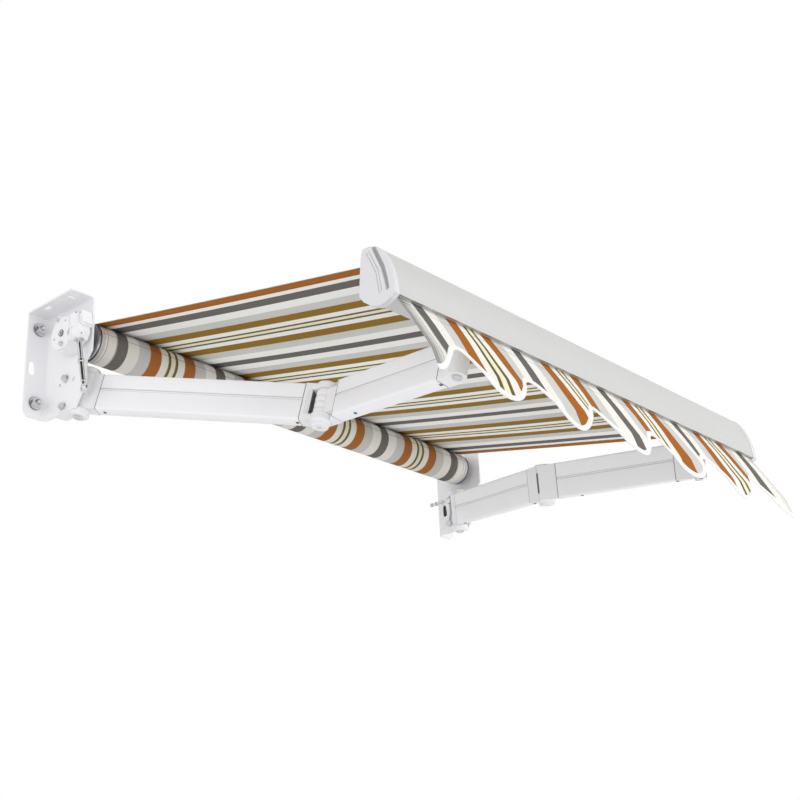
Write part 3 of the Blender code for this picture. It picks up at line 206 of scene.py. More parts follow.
def maths(tree, operation, first, second=None, third=None):
    """Math node fed by sockets or numbers; returns its output."""
    node = tree.nodes.new("ShaderNodeMath")
    node.operation = operation
    for index, value in enumerate((first, second, third)):
        if value is None:
            continue
        if isinstance(value, (int, float)):
            node.inputs[index].default_value = value
        else:
            tree.links.new(value, node.inputs[index])
    return node.outputs[0]


def vectors(tree, operation, first, second=None):
    """Vector math node fed by a socket and, where it needs one, a fixed vector."""
    node = tree.nodes.new("ShaderNodeVectorMath")
    node.operation = operation
    tree.links.new(first, node.inputs[0])
    if second is not None:
        node.inputs[1].default_value = second
    return node


def mix(tree, share, first, second, blend="MIX"):
    """Colour mix of two colours or sockets; returns its output."""
    node = tree.nodes.new("ShaderNodeMix")
    node.data_type = "RGBA"
    node.blend_type = blend
    sockets = [node.inputs[0], node.inputs[6], node.inputs[7]]
    for socket, value in zip(sockets, (share, first, second)):
        if isinstance(value, (int, float)):
            socket.default_value = value
        elif isinstance(value, tuple):
            socket.default_value = (*value, 1)
        else:
            tree.links.new(value, socket)
    return node.outputs[2]


def group(name, inputs, outputs):
    """Node group with named sockets; returns the tree with its input and output nodes."""
    tree = bpy.data.node_groups.new(name, "ShaderNodeTree")
    for label, kind, default in inputs:
        socket = tree.interface.new_socket(name=label, in_out="INPUT", socket_type=kind)
        if default is not None:
            socket.default_value = default
    for label, kind in outputs:
        tree.interface.new_socket(name=label, in_out="OUTPUT", socket_type=kind)
    return tree, tree.nodes.new("NodeGroupInput"), tree.nodes.new("NodeGroupOutput")


def place(tree, node_group, **values):
    """Add a node group with some of its inputs set."""
    node = tree.nodes.new("ShaderNodeGroup")
    node.node_tree = node_group
    for key, value in values.items():
        node.inputs[key.replace("_", " ")].default_value = value
    return node


FLOAT = "NodeSocketFloat"
COLOUR = "NodeSocketColor"
VECTOR = "NodeSocketVector"


def weave_group():
    """Plain weave: height of the threads and a small change of shade from thread to thread."""
    if "plain_weave" in bpy.data.node_groups:
        return bpy.data.node_groups["plain_weave"]
    tree, entry, exit_node = group("plain_weave",
                                   [("Coordinates", VECTOR, None), ("Thread", FLOAT, 0.0009)],
                                   [("Height", FLOAT), ("Shade", FLOAT)])
    split = tree.nodes.new("ShaderNodeSeparateXYZ")
    tree.links.new(entry.outputs["Coordinates"], split.inputs[0])
    turns = maths(tree, "DIVIDE", 2 * pi, entry.outputs["Thread"])
    warp = maths(tree, "SINE", maths(tree, "MULTIPLY", split.outputs[0], turns))
    weft = maths(tree, "SINE", maths(tree, "MULTIPLY", split.outputs[1], turns))
    crossing = maths(tree, "MULTIPLY", warp, weft)
    height = maths(tree, "MULTIPLY_ADD", crossing, 0.5, 0.5)
    slub = tree.nodes.new("ShaderNodeTexNoise")
    slub.inputs["Scale"].default_value = 260
    slub.inputs["Detail"].default_value = 3
    stretch = tree.nodes.new("ShaderNodeMapping")
    stretch.inputs["Scale"].default_value = (1.0, 0.08, 1.0)
    tree.links.new(entry.outputs["Coordinates"], stretch.inputs["Vector"])
    tree.links.new(stretch.outputs[0], slub.inputs["Vector"])
    uneven = maths(tree, "MULTIPLY_ADD", slub.outputs[0], 0.5, maths(tree, "MULTIPLY", height, 0.5))
    tree.links.new(height, exit_node.inputs["Height"])
    tree.links.new(uneven, exit_node.inputs["Shade"])
    return tree


def stitch_group():
    """Mask of dashed stitches inside a rectangle of the flat cut."""
    if "stitch_line" in bpy.data.node_groups:
        return bpy.data.node_groups["stitch_line"]
    sides = ("Left", "Right", "Start", "End")
    tree, entry, exit_node = group("stitch_line", [("Coordinates", VECTOR, None)]
                                   + [(side, FLOAT, 0.0) for side in sides] + [("Stitch", FLOAT, 0.0042)],
                                   [("Mask", FLOAT)])
    split = tree.nodes.new("ShaderNodeSeparateXYZ")
    tree.links.new(entry.outputs["Coordinates"], split.inputs[0])
    across, along = split.outputs[0], split.outputs[1]
    inside = maths(tree, "MULTIPLY", maths(tree, "GREATER_THAN", across, entry.outputs["Left"]),
                   maths(tree, "LESS_THAN", across, entry.outputs["Right"]))
    inside = maths(tree, "MULTIPLY", inside, maths(tree, "GREATER_THAN", along, entry.outputs["Start"]))
    inside = maths(tree, "MULTIPLY", inside, maths(tree, "LESS_THAN", along, entry.outputs["End"]))
    turns = maths(tree, "DIVIDE", maths(tree, "ADD", across, along), entry.outputs["Stitch"])
    thread = maths(tree, "LESS_THAN", maths(tree, "FRACT", maths(tree, "ADD", turns, 100.0)), 0.78)
    tree.links.new(maths(tree, "MULTIPLY", inside, thread), exit_node.inputs["Mask"])
    return tree


def stripes_group(cloth):
    """Stripe colour of each side from the distance across the cloth, counted from its left edge."""
    if "cloth_stripes" in bpy.data.node_groups:
        return bpy.data.node_groups["cloth_stripes"]
    tree, entry, exit_node = group("cloth_stripes", [("Across", FLOAT, 0.0), ("Repeat", FLOAT, 0.25)],
                                   [("Upper", COLOUR), ("Lower", COLOUR)])
    turns = maths(tree, "DIVIDE", maths(tree, "SUBTRACT", entry.outputs["Across"], HALF_WIDTH),
                  entry.outputs["Repeat"])
    wrapped = maths(tree, "FRACT", maths(tree, "ADD", turns, 100.5))
    away = maths(tree, "MULTIPLY", maths(tree, "ABSOLUTE", maths(tree, "SUBTRACT", wrapped, 0.5)), 2)
    upper = (cloth.dark_grey, cloth.cream, cloth.light_grey, cloth.orange, cloth.cream,
             cloth.olive, cloth.straw)
    # The lower colours are painted light through the cloth and shade under it.
    lower = (cloth.dark_grey, cloth.under_cream, cloth.light_grey, cloth.under_orange, cloth.under_cream,
             cloth.olive, cloth.straw)
    starts = (0.0, 0.10, 0.32, 0.54, 0.76, 0.90, 0.955)
    for label, colours in (("Upper", upper), ("Lower", lower)):
        node = ramp(tree, list(zip(starts, (tuple(colour) for colour in colours))), "CONSTANT")
        tree.links.new(away, node.inputs[0])
        tree.links.new(node.outputs[0], exit_node.inputs[label])
    return tree


def coat_group():
    """Powder coat: fine orange-peel height, roughness and a faint cloudiness of the colour."""
    if "powder_coat" in bpy.data.node_groups:
        return bpy.data.node_groups["powder_coat"]
    tree, entry, exit_node = group("powder_coat",
                                   [("Colour", COLOUR, (0.8, 0.8, 0.8, 1)), ("Grain", FLOAT, 900.0),
                                    ("Clouding", FLOAT, 0.04)],
                                   [("Colour", COLOUR), ("Roughness", FLOAT), ("Height", FLOAT)])
    where = tree.nodes.new("ShaderNodeTexCoord")
    peel = add(tree, "ShaderNodeTexNoise", Detail=2.0)
    tree.links.new(where.outputs["Object"], peel.inputs["Vector"])
    tree.links.new(entry.outputs["Grain"], peel.inputs["Scale"])
    cloud = add(tree, "ShaderNodeTexNoise", Scale=9.0, Detail=5.0)
    tree.links.new(where.outputs["Object"], cloud.inputs["Vector"])
    shaded = maths(tree, "MULTIPLY", cloud.outputs[0], entry.outputs["Clouding"])
    darker = maths(tree, "SUBTRACT", 1.0, shaded)
    joined = tree.nodes.new("ShaderNodeCombineColor")
    for socket in joined.inputs[:3]:
        tree.links.new(darker, socket)
    tree.links.new(mix(tree, 1.0, entry.outputs["Colour"], joined.outputs[0], "MULTIPLY"),
                   exit_node.inputs["Colour"])
    tree.links.new(maths(tree, "MULTIPLY_ADD", cloud.outputs[0], 0.18, 0.30), exit_node.inputs["Roughness"])
    tree.links.new(peel.outputs[0], exit_node.inputs["Height"])
    return tree


def coated(name, colour, clouding=0.04, metallic=0.0, strength=0.06):
    """Material of powder-coated metal or moulded plastic."""
    material = bpy.data.materials.new(name)
    tree, links, shader = tree_of(material)
    coat = place(tree, coat_group(), Clouding=clouding)
    coat.inputs["Colour"].default_value = (*colour, 1)
    bump = add(tree, "ShaderNodeBump", Strength=strength, Distance=0.0004)
    links.new(coat.outputs["Height"], bump.inputs["Height"])
    links.new(coat.outputs["Colour"], shader.inputs["Base Color"])
    links.new(coat.outputs["Roughness"], shader.inputs["Roughness"])
    links.new(bump.outputs[0], shader.inputs["Normal"])
    shader.inputs["Metallic"].default_value = metallic
    return material


def plated(name, colour, roughness, streak=0.12):
    """Material of bright plated steel with fine turning marks."""
    material = bpy.data.materials.new(name)
    tree, links, shader = tree_of(material)
    where = tree.nodes.new("ShaderNodeTexCoord")
    marks = add(tree, "ShaderNodeTexNoise", Scale=420.0, Detail=4.0)
    links.new(where.outputs["Object"], marks.inputs["Vector"])
    tarnish = add(tree, "ShaderNodeTexNoise", Scale=60.0, Detail=5.0)
    links.new(where.outputs["Object"], tarnish.inputs["Vector"])
    shade = ramp(tree, [(0.3, tuple(c * 0.72 for c in colour)), (0.65, tuple(colour))])
    links.new(tarnish.outputs[0], shade.inputs[0])
    links.new(shade.outputs[0], shader.inputs["Base Color"])
    links.new(maths(tree, "MULTIPLY_ADD", marks.outputs[0], streak, roughness), shader.inputs["Roughness"])
    bump = add(tree, "ShaderNodeBump", Strength=0.08, Distance=0.0002)
    links.new(marks.outputs[0], bump.inputs["Height"])
    links.new(bump.outputs[0], shader.inputs["Normal"])
    shader.inputs["Metallic"].default_value = 1.0
    return material


def spans_mask(tree, value, spans):
    """Mask that is 1 where a value lies inside one of the spans."""
    total = 0.0
    for low, high in spans:
        inside = maths(tree, "MULTIPLY", maths(tree, "GREATER_THAN", value, low),
                       maths(tree, "LESS_THAN", value, high))
        total = maths(tree, "MAXIMUM", inside, total)
    return total


def reach_along(tree, origin, way):
    """Distance along a direction from an origin, in the frame of the model."""
    where = tree.nodes.new("ShaderNodeTexCoord")
    away = vectors(tree, "SUBTRACT", where.outputs["Object"], origin)
    return vectors(tree, "DOT_PRODUCT", away.outputs[0], way).outputs["Value"]


def region(tree, origin, spans):
    """Mask of a box in the frame of the model, from directions with their two ends."""
    total = 1.0
    for way, low, high in spans:
        inside = spans_mask(tree, reach_along(tree, origin, way), [(low, high)])
        total = maths(tree, "MULTIPLY", inside, total)
    return total


def radius_from(tree, origin):
    """Distance from an axis along X through the origin, in the frame of the model."""
    where = tree.nodes.new("ShaderNodeTexCoord")
    away = vectors(tree, "SUBTRACT", where.outputs["Object"], origin)
    flat = vectors(tree, "MULTIPLY", away.outputs[0], (0, 1, 1))
    return vectors(tree, "LENGTH", flat.outputs[0]).outputs["Value"]


def darken(material, mask, share, colour):
    """Lay a colour over a material's base colour where a mask is set; the script uses it to paint shade
    into gaps and recesses.
    """
    tree, links, shader = tree_of(material)
    before = shader.inputs["Base Color"].links[0].from_socket
    after = mix(tree, maths(tree, "MULTIPLY", mask, share), before, tuple(colour))
    links.new(after, shader.inputs["Base Color"])
    return material


def cloth_material(name, marks=(), painted_shade=None, soil_and_shade=0.07):
    """Striped woven cloth; marks are stitched rectangles of the cut.

    The argument after the marks gives the axis of the cut, the two ends and the strength of a stretch of
    painted shade that is darkest at the first end and fades out by the last.
    """
    cloth = bpy.context.scene.awning_cloth
    material = bpy.data.materials.new(name)
    tree, links, shader = tree_of(material)
    uv = tree.nodes.new("ShaderNodeUVMap")
    uv.uv_map = "cut"
    split = tree.nodes.new("ShaderNodeSeparateXYZ")
    links.new(uv.outputs[0], split.inputs[0])
    stripes = place(tree, stripes_group(cloth), Repeat=cloth.repeat)
    links.new(split.outputs[0], stripes.inputs["Across"])
    side = tree.nodes.new("ShaderNodeAttribute")
    side.attribute_name = "underside"
    # Faces of the underside take the lower colours, which are painted light and shade.
    colour = mix(tree, side.outputs["Fac"], stripes.outputs["Upper"], stripes.outputs["Lower"])
    weave = place(tree, weave_group(), Thread=cloth.thread)
    links.new(uv.outputs[0], weave.inputs["Coordinates"])
    colour = mix(tree, maths(tree, "MULTIPLY", weave.outputs["Shade"], 0.09), colour, (0.02, 0.02, 0.02))
    # A dusty brown laid over the cloth: random soiling from the noise, and, where the share is raised above
    # its default of 0.07, an even painted shade on top.
    soil = add(tree, "ShaderNodeTexNoise", Scale=7.0, Detail=6.0)
    links.new(uv.outputs[0], soil.inputs["Vector"])
    colour = mix(tree, maths(tree, "MULTIPLY_ADD", soil.outputs[0], 0.07, soil_and_shade - 0.07), colour,
                 (0.16, 0.14, 0.11))
    height = weave.outputs["Height"]
    for mark in marks:
        stitches = place(tree, stitch_group(), **dict(zip(("Left", "Right", "Start", "End"), mark)))
        links.new(uv.outputs[0], stitches.inputs["Coordinates"])
        inside = stitches.outputs["Mask"]
        colour = mix(tree, maths(tree, "MULTIPLY", inside, 0.80), colour, (0.07, 0.06, 0.055))
        height = maths(tree, "SUBTRACT", height, inside)
    if painted_shade:
        axis, first, last, share = painted_shade
        # A stretch of painted shade, darkest at the first end and gone at the last.
        shade_fade = ramp(tree, [(0.0, (1, 1, 1)), (1.0, (0, 0, 0))])
        span = maths(tree, "DIVIDE", maths(tree, "SUBTRACT", split.outputs[axis], first), last - first)
        links.new(span, shade_fade.inputs[0])
        colour = mix(tree, maths(tree, "MULTIPLY", shade_fade.outputs[0], share), colour, (0.03, 0.028, 0.025))
    bump = add(tree, "ShaderNodeBump", Strength=0.25, Distance=0.0003)
    links.new(height, bump.inputs["Height"])
    links.new(colour, shader.inputs["Base Color"])
    links.new(bump.outputs[0], shader.inputs["Normal"])
    shader.inputs["Roughness"].default_value = 0.82
    shader.inputs["Specular IOR Level"].default_value = 0.12
    return material


# Mesh helpers

def piece(name, work, material, body, sharp):
    """Object from a bmesh, placed by its mesh alone, riding on a body.

    Edges that turn by more than an angle in degrees stay crisp.
    """
    mesh = bpy.data.meshes.new(name)
    work.to_mesh(mesh)
    work.free()
    shape = bpy.data.objects.new(name, mesh)
    bpy.context.scene.collection.objects.link(shape)
    mesh.materials.append(material)
    for polygon in mesh.polygons:
        polygon.use_smooth = True
    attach(shape, body)
    shape.data.set_sharp_from_angle(angle=radians(sharp))
    return shape


def cloth_solid(columns, rows, thickness, place_at, cut_at, outward):
    """Thin closed cloth from its upper side; the functions take the shares across and along.

    cut_at gives the place on the flat cut, outward the direction that the upper side faces at a point.
    """
    work = bmesh.new()
    work.loops.layers.uv.new("cut")
    work.faces.layers.float.new("underside")
    bmesh.ops.create_grid(work, x_segments=columns, y_segments=rows, size=0.5)
    uv = work.loops.layers.uv["cut"]
    side = work.faces.layers.float["underside"]
    shares = {vertex: (vertex.co.x + 0.5, vertex.co.y + 0.5) for vertex in work.verts}
    for face in work.faces:
        for loop in face.loops:
            loop[uv].uv = cut_at(*shares[loop.vert])
    for vertex, (across, along) in shares.items():
        vertex.co = place_at(across, along)
    work.normal_update()
    work.faces.ensure_lookup_table()
    sample = work.faces[len(work.faces) // 2]
    if sample.normal.dot(outward(sample.calc_center_median())) < 0:
        bmesh.ops.reverse_faces(work, faces=work.faces)
        work.normal_update()
    bmesh.ops.solidify(work, geom=work.faces[:], thickness=thickness)
    bmesh.ops.recalc_face_normals(work, faces=work.faces)
    work.normal_update()
    for face in work.faces:
        face[side] = 1.0 if face.normal.dot(outward(face.calc_center_median())) < 0 else 0.0
    return work


def dressed(name, material, width):
    """Merged copy of a CAD node with softened edges, which then stands for it."""
    node = frame["nodes"][name]
    work = bmesh.new()
    work.from_mesh(node.data)
    bmesh.ops.remove_doubles(work, verts=work.verts, dist=2e-6)
    bmesh.ops.dissolve_limit(work, angle_limit=radians(0.6), verts=work.verts, edges=work.edges)
    shape = piece(f"{name}_finish", work, material, BODY_OF[name], EDGE_ANGLE)
    bevel = shape.modifiers.new("Edges", "BEVEL")
    bevel.width = width
    bevel.segments = 2
    bevel.limit_method = "ANGLE"
    bevel.angle_limit = radians(EDGE_ANGLE)
    bevel.harden_normals = False
    bevel.use_clamp_overlap = True
    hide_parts(name)
    return shape


def x_across(across):
    """Place along the bar of a share across the cloth."""
    return (across * 2 - 1) * HALF_WIDTH


def along_hang(drop):
    """Point and outward direction of the hanging line at a drop measured along it."""
    for start, end in zip(HANG, HANG[1:]):
        length = hypot(end[0] - start[0], end[1] - start[1])
        if drop <= length or end is HANG[-1]:
            way = ((end[0] - start[0]) / length, (end[1] - start[1]) / length)
            point = Vector((0, start[0] + way[0] * drop, start[1] + way[1] * drop))
            return point, Vector((0, way[1], -way[0]))
        drop -= length


def scallop(place_x, inside):
    """Point of the scalloped edge as place along the bar and drop, moved inside by a width."""
    wave = 2 * pi * SCALLOPS / (2 * HALF_WIDTH)
    swing = (DEEP - SHALLOW) / 2
    turn = wave * (place_x + HALF_WIDTH)
    drop = SHALLOW + swing * (1 + cos(turn))
    slope = -swing * wave * sin(turn)
    length = hypot(1, slope)
    return place_x + inside * slope / length, drop - inside / length


def hang_place(across, drop, lift=0.0):
    """Place on the rippled valance at a distance across, a drop and a height above its middle surface."""
    ripple = bpy.context.scene.awning_cloth.ripple
    point, outward = along_hang(drop)
    share = min(1.0, max(0.0, drop / DEEP))
    wave = sin(2 * pi * (across + HALF_WIDTH) * SCALLOPS / (2 * HALF_WIDTH) + 0.6)
    wave += 0.35 * sin(2 * pi * (across * 9.1 + 0.4))
    point = point + outward * (ripple * share ** 1.5 * wave + lift)
    return Vector((across, point.y, point.z))


class AWNING_OT_canopy(bpy.types.Operator):
    """Stretched striped cloth between roller and front bar, with its side hems"""
    bl_idname = "awning.canopy"
    bl_label = "Canopy"

    def execute(self, context):
        cloth = context.scene.awning_cloth
        lift = 0.0003

        def at(across, along, above=lift + CLOTH):
            x = x_across(across)
            sag = cloth.sag * sin(pi * along) * (1 - (across * 2 - 1) ** 4 * 0.6)
            sag += 0.0008 * sin(pi * along) * sin(across * 31.0)
            return LEAVE + Vector((x, 0, 0)) + FALL * (CANOPY_LENGTH * along) + UNDER * (sag - above)

        work = cloth_solid(110, 40, CLOTH, at, lambda u, v: (u * 2 * HALF_WIDTH, v * CANOPY_LENGTH),
                           lambda point: -UNDER)
        far = 2 * HALF_WIDTH
        marks = ((0.0130, 0.0142, 0, 1), (far - 0.0142, far - 0.0130, 0, 1))
        shape = piece("canopy_cloth", work, cloth_material("canopy_stripes", marks), "root", 40)
        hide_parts("canopy")
        hems = []
        for label, start in (("left", 0.0), ("right", 1.0)):
            width = cloth.hem / far

            def hem_at(across, along):
                u = start + (across * width if start == 0 else -across * width)
                return at(min(max(u, 0.0008), 0.9992), 0.014 + along * 0.982, lift - 0.0014)

            def hem_cut(across, along):
                inner = HEM_STRIPE + cloth.hem * across
                return (inner if start == 0 else far - inner, along * CANOPY_LENGTH)

            strip = cloth_solid(4, 40, 0.0006, hem_at, hem_cut, lambda point: UNDER)
            stitch = HEM_STRIPE + cloth.hem - 0.0035
            stitch = stitch if start == 0 else far - stitch
            material = cloth_material(f"hem_stripes_{label}", ((stitch - 0.0006, stitch + 0.0006, 0, 1),))
            hems.append(piece(f"canopy_hem_{label}", strip, material, "root", 40))
        for soft in [shape] + hems:
            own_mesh(soft)
        return {"FINISHED"}


class AWNING_OT_roll(bpy.types.Operator):
    """Cloth wound on the roller, with its free edge and side hems"""
    bl_idname = "awning.roll"
    bl_label = "Wound cloth"

    def execute(self, context):
        start = pi / 2 + PITCH

        def at(across, along):
            turn = start + 2 * pi * LAYERS * (along - 1) + 2 * pi
            radius = ROLL_RADIUS - LAYER_STEP * LAYERS * (1 - along)
            return Vector((x_across(across), ROLL_AXIS.y + radius * cos(turn),
                           ROLL_AXIS.z + radius * sin(turn)))

        length = 2 * pi * ROLL_RADIUS * LAYERS
        work = cloth_solid(60, 110, 0.0005, at, lambda u, v: (u * 2 * HALF_WIDTH, v * length),
                           lambda point: Vector((0, point.y - ROLL_AXIS.y, point.z - ROLL_AXIS.z)))
        far = 2 * HALF_WIDTH
        marks = [(side, side + 0.0015, 0, 1) for side in (0.0125, 0.0335, far - 0.0350, far - 0.0140)]
        marks.append((0, far, 0.0556, 0.0570))
        # The wound cloth gets painted shade in the nip where the canopy leaves the roller, and an even
        # painted shade from its raised soil share.
        material = cloth_material("roll_stripes", marks, (1, 0.0145, 0.0440, 0.75), 0.25)
        shape = piece("wound_cloth", work, material, "roller", 40)
        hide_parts("fabric_roll")
        return {"FINISHED"}


class AWNING_OT_valance(bpy.types.Operator):
    """Hanging valance with scallops, its sewn binding and the stitches along it"""
    bl_idname = "awning.valance"
    bl_label = "Valance"

    def execute(self, context):
        columns = 24 * SCALLOPS

        def spread(across, along):
            x = x_across(across)
            foot_x, foot = scallop(x, BINDING * 0.6)
            return x + (foot_x - x) * along, HANG_START + (foot - HANG_START) * along

        def at(across, along):
            x, drop = spread(across, along)
            return hang_place(x, drop, CLOTH / 2)

        def cut(across, along):
            x, drop = spread(across, along)
            return x + HALF_WIDTH, drop

        work = cloth_solid(columns, 18, CLOTH, at, cut, lambda point: Vector((0, -1, -0.3)))
        far = 2 * HALF_WIDTH
        runs = (0.0065, 0.0125, 0.0215, 0.0335, far - 0.0350, far - 0.0140)
        marks = [(side, side + 0.0012, 0, 1) for side in runs]
        marks.append((0, far, 0.0250, 0.0262))
        marks.append((0.0020, 0.0240, 0.0150, 0.0185))
        marks.append((far - 0.0240, far - 0.0020, 0.0150, 0.0185))
        # Painted shade along the valance's left edge, darkest at the edge.
        material = cloth_material("valance_stripes", marks, (0, 0.0, 0.0360, 0.55))
        shape = piece("valance_cloth", work, material, "front_bar", 40)
        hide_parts("valance")

        work = bmesh.new()
        work.loops.layers.uv.new("cut")
        ring = []
        section = ((BINDING, 0.0007), (BINDING - 0.0015, 0.0014), (BINDING * 0.5, 0.0017), (0.0010, 0.0014),
                   (0.0, 0.0), (0.0010, -0.0014), (BINDING * 0.5, -0.0017), (BINDING - 0.0015, -0.0014),
                   (BINDING, -0.0007))
        steps = 30 * SCALLOPS
        for step in range(steps + 1):
            x = x_across(step / steps)
            loop = []
            for inside, lift in section:
                foot_x, foot = scallop(x, inside)
                loop.append(work.verts.new(hang_place(foot_x, foot, lift)))
            ring.append(loop)
        rims = []
        for loop in ring:
            rims.append([work.edges.new(pair) for pair in zip(loop, loop[1:] + loop[:1])])
        for first, second in zip(rims, rims[1:]):
            bmesh.ops.bridge_loops(work, edges=first + second)
        bmesh.ops.holes_fill(work, edges=rims[0] + rims[-1], sides=0)
        bmesh.ops.recalc_face_normals(work, faces=work.faces)
        uv = work.loops.layers.uv["cut"]
        for face in work.faces:
            for loop in face.loops:
                loop[uv].uv = (loop.vert.co.x, loop.vert.co.z)
        binding = piece("valance_tape", work, coated_tape("binding_tape"), "front_bar", 60)
        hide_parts("valance_binding")
        return {"FINISHED"}


def coated_tape(name):
    """White woven binding tape."""
    material = bpy.data.materials.new(name)
    tree, links, shader = tree_of(material)
    where = tree.nodes.new("ShaderNodeTexCoord")
    weave = place(tree, weave_group(), Thread=0.0008)
    links.new(where.outputs["Object"], weave.inputs["Coordinates"])
    shade = ramp(tree, [(0.1, (0.93, 0.93, 0.92)), (0.9, (0.84, 0.84, 0.83))])
    links.new(weave.outputs["Shade"], shade.inputs[0])
    links.new(shade.outputs[0], shader.inputs["Base Color"])
    bump = add(tree, "ShaderNodeBump", Strength=0.2, Distance=0.0003)
    links.new(weave.outputs["Height"], bump.inputs["Height"])
    links.new(bump.outputs[0], shader.inputs["Normal"])
    shader.inputs["Roughness"].default_value = 0.8
    return material


class AWNING_OT_metal(bpy.types.Operator):
    """Coated brackets, castings, profiles and bar with softened edges, and plated bolts"""
    bl_idname = "awning.metal"
    bl_label = "Metal pieces"

    def execute(self, context):
        metal = context.scene.awning_metal
        finishes = {
            "coated_plate": coated("bracket_coat", metal.coat),
            "cast_coat": coated("casting_coat", metal.coat, 0.06, strength=0.12),
            "arm_coat": coated("arm_coat", metal.profile),
            # The bar's darker colour is painted shade.
            "bar_coat": coated("bar_coat", metal.bar),
            "cap_plastic": coated("cap_plastic", tuple(c * 0.80 for c in metal.coat), 0.05, strength=0.10),
            "zinc_steel": plated("zinc_plate", metal.zinc, 0.26),
            "chrome_steel": plated("chrome_plate", (0.90, 0.90, 0.92), 0.04, 0.04),
            "gear_bronze": plated("gear_bronze", (0.55, 0.38, 0.16), 0.3),
        }
        # Roller plugs get the dark colour that paints the shade at the roller's ends.
        plug = coated("plug_plastic", metal.plug, 0.10, strength=0.10)
        cover = coated("cover_coat", metal.coat, 0.06, strength=0.12)
        tree = cover.node_tree
        # Painted shade in a ring around the boss of the gearbox cover.
        darken(cover, spans_mask(tree, radius_from(tree, ROLL_AXIS), [(0.0050, 0.0070)]), 0.85, metal.shade)
        for entry in frame["record"]["subparts"]:
            slot = entry["material_slot"]
            name = entry["node"]
            if slot not in finishes:
                continue
            material = finishes[slot]
            width = BOLT_EDGE
            if slot in ("coated_plate", "cast_coat", "cap_plastic"):
                width = metal.edge
            elif slot in ("arm_coat", "bar_coat"):
                width = PROFILE_EDGE
            if "roller_plug" in name:
                material = plug
            elif name == "gearbox_cover":
                material = cover
            # Nodes with gaps and recesses get a copy of their material with shade painted into them.
            places = painted_shade_places(name)
            if places:
                material = material.copy()
                material.name = f"{name}_finish"
            for origin, spans, share in places:
                darken(material, region(material.node_tree, origin, spans), share, metal.shade)
            shape = dressed(name, material, width)
        return {"FINISHED"}


def painted_shade_places(name):
    """Painted shade of a node: its gaps, slits, grooves and recesses, and the washer against the plate, as
    origin, directions with their two ends, and strength.
    """
    side = SIDES["right" if name.startswith("right") else "left"]
    upper = (ELBOW - SHOULDER).normalized()
    fore = (WRIST - ELBOW).normalized()
    lean = LEAN * side
    slit = (ELBOW * side, (((upper + fore).normalized() * side, -0.0022, 0.0032),
                           (LEAN.cross(upper) * side, 0.0140, 0.0400), (lean, -0.0215, 0.0215)), 0.85)
    if "arm_profile" in name:
        start, end, first, last = SHOULDER, ELBOW, ROOT_REACH, ELBOW_REACH
        if "forearm" in name:
            start, end, first, last = ELBOW, WRIST, ELBOW_REACH, WRIST_REACH
        way, length = (end - start).normalized() * side, (end - start).length
        start = start * side
        places = [(start, ((lean, low, high),), 0.45) for low, high in GROOVE_SPANS]
        ends = ((0, first + 0.0012), (length - last - 0.0012, length))
        return [(start, ((way, low, high),), 0.85) for low, high in ends] + places
    if "elbow_fork" in name:
        return [slit, (ELBOW * side, ((upper * side, -0.0262, -0.0100), (lean, -0.0249, 0.0249),
                                      (LEAN.cross(upper) * side, -0.0200, 0.0144)), 0.9)]
    if "elbow_drum" in name:
        return [slit]
    if "shoulder_casting" in name:
        out = (-side.x, 0, 0)
        return [((0, -0.0480, -0.0600), ((out, 0.5545, 0.5625), ((0, 1, 0), -0.0065, 0.0065),
                                         ((0, 0, 1), -0.0150, 0.0150)), 0.85),
                (SHOULDER * side, ((upper * side, -0.0215, -0.0150), (lean, -0.0365, 0.0365)), 0.6)]
    if "end_cap" in name:
        out = (-side.x, 0, 0)
        return [((0, 0, 0), ((out, 0.5588, 0.5592),), 0.55), ((0, 0, 0), ((out, 0.5613, 0.5617),), 0.35)]
    if "anchor_nut" in name:
        return [((0, 0, 0), (((0, 1, 0), WASHER_FACE, 1),), 0.85)]
    return []


def spun(points, sides, matrix):
    """Turned solid about Z from radius and height pairs that start and end on the axis."""
    work = bmesh.new()
    verts = [work.verts.new((radius, 0, height)) for radius, height in points]
    edges = [work.edges.new(pair) for pair in zip(verts, verts[1:])]
    bmesh.ops.spin(work, geom=verts + edges, cent=(0, 0, 0), axis=(0, 0, 1), angle=2 * pi, steps=sides,
                   use_merge=True)
    bmesh.ops.remove_doubles(work, verts=work.verts, dist=1e-6)
    bmesh.ops.recalc_face_normals(work, faces=work.faces)
    bmesh.ops.transform(work, matrix=matrix, verts=work.verts)
    return work


def facing(point, way):
    """Place at a point with Z along a direction."""
    return Matrix.Translation(point) @ way.to_track_quat("Z", "Y").to_matrix().to_4x4()


